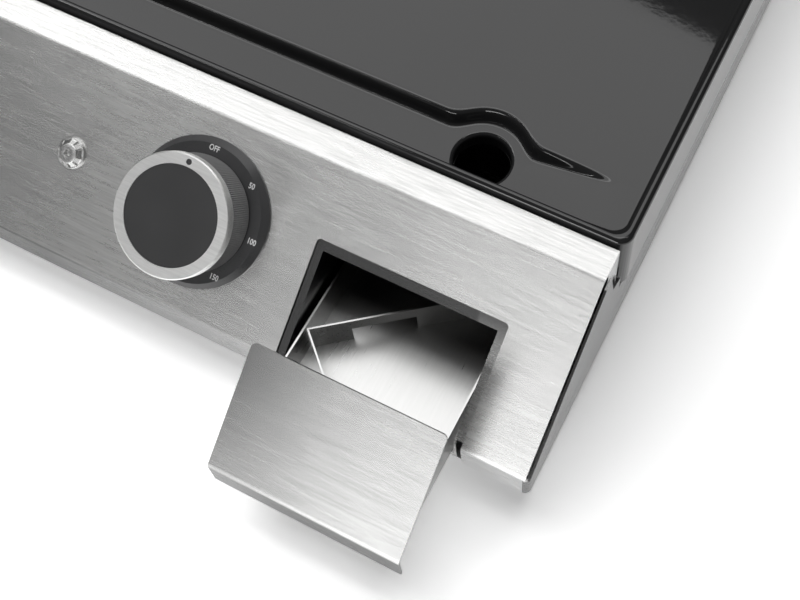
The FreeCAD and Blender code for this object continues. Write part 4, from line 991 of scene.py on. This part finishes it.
@dataclass
class KnobSkirt:
    """The knob's black skirt, with fine ridges all round it."""

    finish: Material
    base: float = 4.3
    top: float = 18.2
    base_radius: float = 23.45
    top_radius: float = 23.25
    wall: float = 2.2
    hub_radius: float = 7.0
    socket_radius: float = 3.05
    socket_depth: float = 11.5
    ridge_count: int = 180
    ridge_width: float = 0.46
    ridge_proud: float = 0.02
    ridge_margin: float = 0.3
    segments: int = 96
    sharp: float = 35.0

    def build(self) -> None:
        """Make the skirt and its ridges."""
        cap = self.top - self.wall
        deep = self.base + self.socket_depth
        profile = (
            (self.base_radius - self.wall, self.base), (self.base_radius, self.base),
            (self.top_radius, self.top), (0.0, self.top), (0.0, deep), (self.socket_radius, deep),
            (self.socket_radius, self.base), (self.hub_radius, self.base), (self.hub_radius, cap),
            (self.top_radius - self.wall, cap))
        turns = [math.tau * k / self.segments for k in range(self.segments)]
        made = bmesh.new()
        rings = [[made.verts.new((radius * math.cos(turn), radius * math.sin(turn), height))
                  for turn in turns] for radius, height in profile]
        skin(made, rings + rings[:1])
        carrier = bpy.data.objects.new("knurl_carrier", to_mesh("knurl_carrier", made))
        group = self.ridges()
        modifier = carrier.modifiers.new("knurl", "NODES")
        modifier.node_group = group
        given = {"Count": self.ridge_count, "Radius": self.top_radius + self.ridge_proud,
                 "Width": self.ridge_width, "Height": self.top - self.base - 2 * self.ridge_margin,
                 "Base": self.base + self.ridge_margin, "Material": self.finish}
        for item in group.interface.items_tree:
            if item.name in given:
                modifier[item.identifier] = given[item.name]
        plain = baked(carrier)
        plain.name = "knob_skirt"
        plain.transform(LAYOUT.on_panel(LAYOUT.knob_inset))
        plain.set_sharp_from_angle(angle=math.radians(self.sharp))
        add_piece("knob_skirt", plain, Body.KNOB, "knob_black", "knob_body")

    @staticmethod
    def ridges() -> NodeTree:
        """The node group that stands ridges round a circle and joins them to the skirt.

        Returns:
            The group.
        """
        group = bpy.data.node_groups.new("knurl", "GeometryNodeTree")
        sockets = {"Geometry": "Geometry", "Count": "Int", "Radius": "Float", "Width": "Float",
                   "Height": "Float", "Base": "Float", "Material": "Material"}
        for name, kind in sockets.items():
            group.interface.new_socket(name, in_out="INPUT", socket_type="NodeSocket" + kind)
        group.interface.new_socket("Result", in_out="OUTPUT", socket_type="NodeSocketGeometry")
        tree = Tree(group)
        given = tree.node("NodeGroupInput").outputs
        circle = tree.node("GeometryNodeMeshCircle", inputs={
            "Vertices": given["Count"], "Radius": given["Radius"]})
        middle = tree.maths("MULTIPLY_ADD", given["Height"], 0.5, given["Base"])
        raised = tree.node("GeometryNodeTransform", inputs={
            "Geometry": circle.outputs["Mesh"], "Translation": tree.vector(0.0, 0.0, middle)})
        bar = tree.node("GeometryNodeMeshCube", inputs={
            "Size": tree.vector(given["Width"], given["Width"], given["Height"])})
        turn = tree.node("GeometryNodeTransform", inputs={
            "Geometry": bar.outputs["Mesh"], "Rotation": (0.0, 0.0, math.pi / 4)})
        where = tree.node("GeometryNodeInputPosition").outputs[0]
        outward = tree.node("FunctionNodeAlignRotationToVector", {"axis": "X"}, {
            "Vector": tree.vectors("MULTIPLY", where, (1.0, 1.0, 0.0))})
        stand = tree.node("GeometryNodeInstanceOnPoints", inputs={
            "Points": raised.outputs["Geometry"], "Instance": turn.outputs["Geometry"],
            "Rotation": outward.outputs["Rotation"]})
        join = tree.node("GeometryNodeJoinGeometry", inputs={0: given["Geometry"]})
        tree.links.new(stand.outputs["Instances"], join.inputs[0])
        real = tree.node("GeometryNodeRealizeInstances", inputs={"Geometry": join.outputs[0]})
        paint = tree.node("GeometryNodeSetMaterial", inputs={
            "Geometry": real.outputs[0], "Material": given["Material"]})
        tree.node("NodeGroupOutput", inputs={"Result": paint.outputs[0]})
        return group


@dataclass
class DialPrint:
    """The printed words round the dial, all upright, clockwise from OFF."""

    finish: Material
    words: Sequence[str] = ("OFF", "50", "100", "150", "200", "250", "300")
    start: float = -3.0
    step: float = 48.0
    radius: float = 26.5
    face: float = 3.5
    letter: float = 3.3
    narrow: float = 0.8
    thick: float = 0.05
    bold: float = 0.06
    curve_steps: int = 3
    merge: float = 0.001

    def build(self) -> None:
        """Make the print as one thin mesh."""
        made = bmesh.new()
        for number, word in enumerate(self.words):
            curve = bpy.data.curves.new("word", "FONT")
            curve.body = word
            curve.size = self.letter
            curve.align_x, curve.align_y = "CENTER", "CENTER"
            curve.extrude = self.thick / 2
            curve.offset = self.bold
            curve.resolution_u = self.curve_steps
            plain = baked(bpy.data.objects.new("word", curve))
            angle = math.radians(90 - self.start - self.step * number)
            spot = (self.radius * math.cos(angle), self.radius * math.sin(angle), self.face)
            plain.transform(Matrix.Translation(spot) @ Matrix.Diagonal((self.narrow, 1.0, 1.0, 1.0)))
            made.from_mesh(plain)
        bmesh.ops.remove_doubles(made, verts=made.verts, dist=self.merge)
        for face in made.faces:
            face.smooth = False
        mesh = to_mesh("dial_print", made)
        mesh.transform(LAYOUT.on_panel(LAYOUT.knob_inset))
        mesh.materials.clear()
        mesh.materials.append(self.finish)
        add_piece("dial_print", mesh, Body.HOUSING, "white_nylon")


@dataclass
class LampJewel:
    """The lamp's lens: a flange, a ring of flat facets with grooves between, and a dimpled top."""

    finish: Material
    facets: int = 10
    groove: float = 3.2
    groove_depth: float = 0.5
    segments: int = 120
    sharp: float = 22.0
    rows: Sequence[Point3] = (
        (6.4, 0.0, 0.0), (6.4, 0.8, 0.0), (6.1, 1.2, 0.0), (5.7, 1.25, 0.0), (5.6, 1.4, 1.0), (4.3, 3.0, 1.0),
        (4.15, 3.1, 0.0), (3.9, 3.35, 0.0), (3.6, 3.45, 0.0), (1.8, 3.55, 0.0), (1.6, 3.5, 0.0),
        (1.45, 3.2, 0.0), (1.1, 1.9, 0.0), (0.0, 1.6, 0.0))

    def build(self) -> None:
        """Make the lens."""
        made = bmesh.new()
        half = 180.0 / self.facets
        rings = []
        for radius, height, share in self.rows:
            ring = []
            for k in range(self.segments):
                angle = 360.0 * k / self.segments
                off = abs((angle + half) % (2 * half) - half)
                flat = math.cos(math.radians(half)) / math.cos(math.radians(half - off))
                drop = self.groove_depth * share if off < self.groove else 0.0
                reach = radius * (1 + (flat - 1) * share) - drop
                turn = math.radians(angle)
                ring.append(made.verts.new((reach * math.cos(turn), reach * math.sin(turn), height - drop)))
            rings.append(ring)
        made.faces.new(list(reversed(rings[0])))
        skin(made, rings)
        for face in made.faces:
            face.smooth = True
        mesh = to_mesh("lamp_jewel", made)
        mesh.set_sharp_from_angle(angle=math.radians(self.sharp))
        mesh.transform(LAYOUT.on_panel(LAYOUT.lamp_inset))
        mesh.materials.append(self.finish)
        add_piece("lamp_jewel", mesh, Body.HOUSING, "lens_clear", "lamp_lens")


@dataclass(frozen=True)
class SoftBox:
    """One soft box: where it hangs, what it faces, its size in metres and its power in watts."""

    name: str
    spot: Point3
    aim: Point3
    size: Point2
    power: float

    def hang(self) -> None:
        """Put it in the scene, out of the camera's sight."""
        data = bpy.data.lights.new(self.name, "AREA")
        data.shape = "RECTANGLE"
        data.size, data.size_y = self.size
        data.energy = self.power
        lamp = bpy.data.objects.new(self.name, data)
        turn = (Vector(self.aim) - Vector(self.spot)).to_track_quat("-Z", "Y")
        lamp.matrix_world = Matrix.Translation(self.spot) @ turn.to_matrix().to_4x4()
        lamp.visible_camera = False
        bpy.context.scene.collection.objects.link(lamp)


@dataclass
class Studio:
    """The camera, the pale floor and the soft lights."""

    focal_px: float = 1245.0
    centre_px: Point2 = (508.0, 163.0)
    size_px: Point2 = (800.0, 600.0)
    sensor: float = 36.0
    near_clip: float = 0.01
    corner: Point3 = (220.0, 0.0, 35.5)
    offset: Point3 = (55.7, -127.8, 452.8)
    axes: Sequence[Point3] = ((0.8966, 0.4428, 0.0), (-0.3777, 0.7648, 0.5220), (0.2311, -0.4680, 0.8530))
    floor_reach: float = 6.0
    floor_tones: Point2 = (0.86, 0.88)
    floor_scale: float = 3.0
    floor_seen: float = 1.85
    floor_glow: float = 0.04
    room_level: float = 0.09
    boxes: Sequence[SoftBox] = (
        SoftBox("overhead", (-0.45, 0.27, 1.3), (-0.45, 0.27, 0.0), (1.9, 1.25), 14.2),
        SoftBox("edge", (-0.75, -0.42, 1.28), (-0.3, -0.1, 0.05), (1.4, 0.05), 1.9),
        SoftBox("zenith", (-0.2, -0.02, 1.29), (-0.2, -0.02, 0.0), (2.2, 0.14), 1.9))
    row_stops: Sequence[float] = (0.7, -0.15, -0.25, -0.35, -0.5, -0.75)
    row_distance: float = 1.7
    row_foot: float = 0.04
    row_height: float = 0.55
    row_level: float = 6.0
    row_knee: float = -0.2
    row_fade: float = 0.1

    def place_camera(self) -> None:
        """Set the camera where the photograph was taken from."""
        data = bpy.data.cameras.new("camera")
        data.sensor_width = self.sensor
        data.lens = self.sensor * self.focal_px / self.size_px[0]
        data.shift_x = -(self.centre_px[0] - self.size_px[0] / 2) / self.size_px[0]
        data.shift_y = (self.centre_px[1] - self.size_px[1] / 2) / self.size_px[0]
        data.clip_start = self.near_clip
        camera = bpy.data.objects.new("camera", data)
        spot = LAYOUT.to_row(*(base + step for base, step in zip(self.corner, self.offset)))
        camera.matrix_world = Matrix.Translation(spot) @ Matrix(self.axes).transposed().to_4x4()
        bpy.context.scene.collection.objects.link(camera)
        bpy.context.scene.camera = camera

    def lay_floor(self) -> None:
        """Lay a pale floor that shows white to the camera away from the shadow."""
        mesh = bpy.data.meshes.new("floor")
        reach = self.floor_reach
        mesh.from_pydata([(-reach, -reach, 0), (reach, -reach, 0), (reach, reach, 0), (-reach, reach, 0)], [],
                         [(0, 1, 2, 3)])
        tree = Tree.named("floor_white")
        cloud = tree.noise(tree.vector(*tree.place()), self.floor_scale)
        plain = tree.node("ShaderNodeBsdfDiffuse", inputs={
            "Color": tree.tint(cloud, *map(grey, self.floor_tones))})
        lit = tree.node("ShaderNodeBsdfDiffuse", inputs={"Color": (*grey(self.floor_seen), 1.0)})
        glow = tree.node("ShaderNodeEmission", inputs={"Color": WHITE, "Strength": self.floor_glow})
        bright = tree.node("ShaderNodeAddShader", inputs={0: lit.outputs[0], 1: glow.outputs[0]})
        path = tree.node("ShaderNodeLightPath").outputs
        seen = Wire(tree, path["Is Camera Ray"]) + Wire(tree, path["Is Glossy Ray"])
        seen = (seen + Wire(tree, path["Is Transmission Ray"])).maths("MINIMUM", 1.0)
        tree.surface(tree.mix(seen, plain, bright))
        mesh.materials.append(tree.owner)
        floor = bpy.data.objects.new("floor", mesh)
        bpy.context.scene.collection.objects.link(floor)

    def fill_world(self) -> None:
        """Fill the room with faint light."""
        tree = Tree(bpy.data.worlds.new("world"))
        dim = tree.node("ShaderNodeBackground", inputs={"Color": WHITE, "Strength": self.room_level})
        tree.node("ShaderNodeOutputWorld", inputs={"Surface": dim.outputs[0]})
        bpy.context.scene.world = tree.owner

    def hang_front_row(self) -> None:
        """Stand a low row of soft boxes in front, each dimmer than the one on its right."""
        for number, (right, left) in enumerate(zip(self.row_stops, self.row_stops[1:])):
            middle = (right + left) / 2
            level = self.row_level * math.exp(min(0.0, middle - self.row_knee) / self.row_fade)
            area = (right - left) * self.row_height
            spot = (middle, -self.row_distance, self.row_foot + self.row_height / 2)
            SoftBox(f"front_{number}", spot, (middle, 0.0, spot[2]), (right - left, self.row_height),
                    level * math.pi * area).hang()

    def set_up(self) -> None:
        """Set the camera, floor, lights and view."""
        bpy.context.scene.view_settings.view_transform = "Standard"
        self.place_camera()
        self.lay_floor()
        self.fill_world()
        for box in self.boxes:
            box.hang()
        self.hang_front_row()


def main() -> None:
    """Dress the CAD, build the pieces and set the studio."""
    looks = Wardrobe().dress()
    GriddlePlate(looks["enamel_black"]).build()
    KnobSkirt(looks["knob_knurl"]).build()
    DialPrint(looks["dial_print"]).build()
    LampJewel(looks["lens_clear"]).build()
    Studio().set_up()


if __name__ == "__main__":
    main()
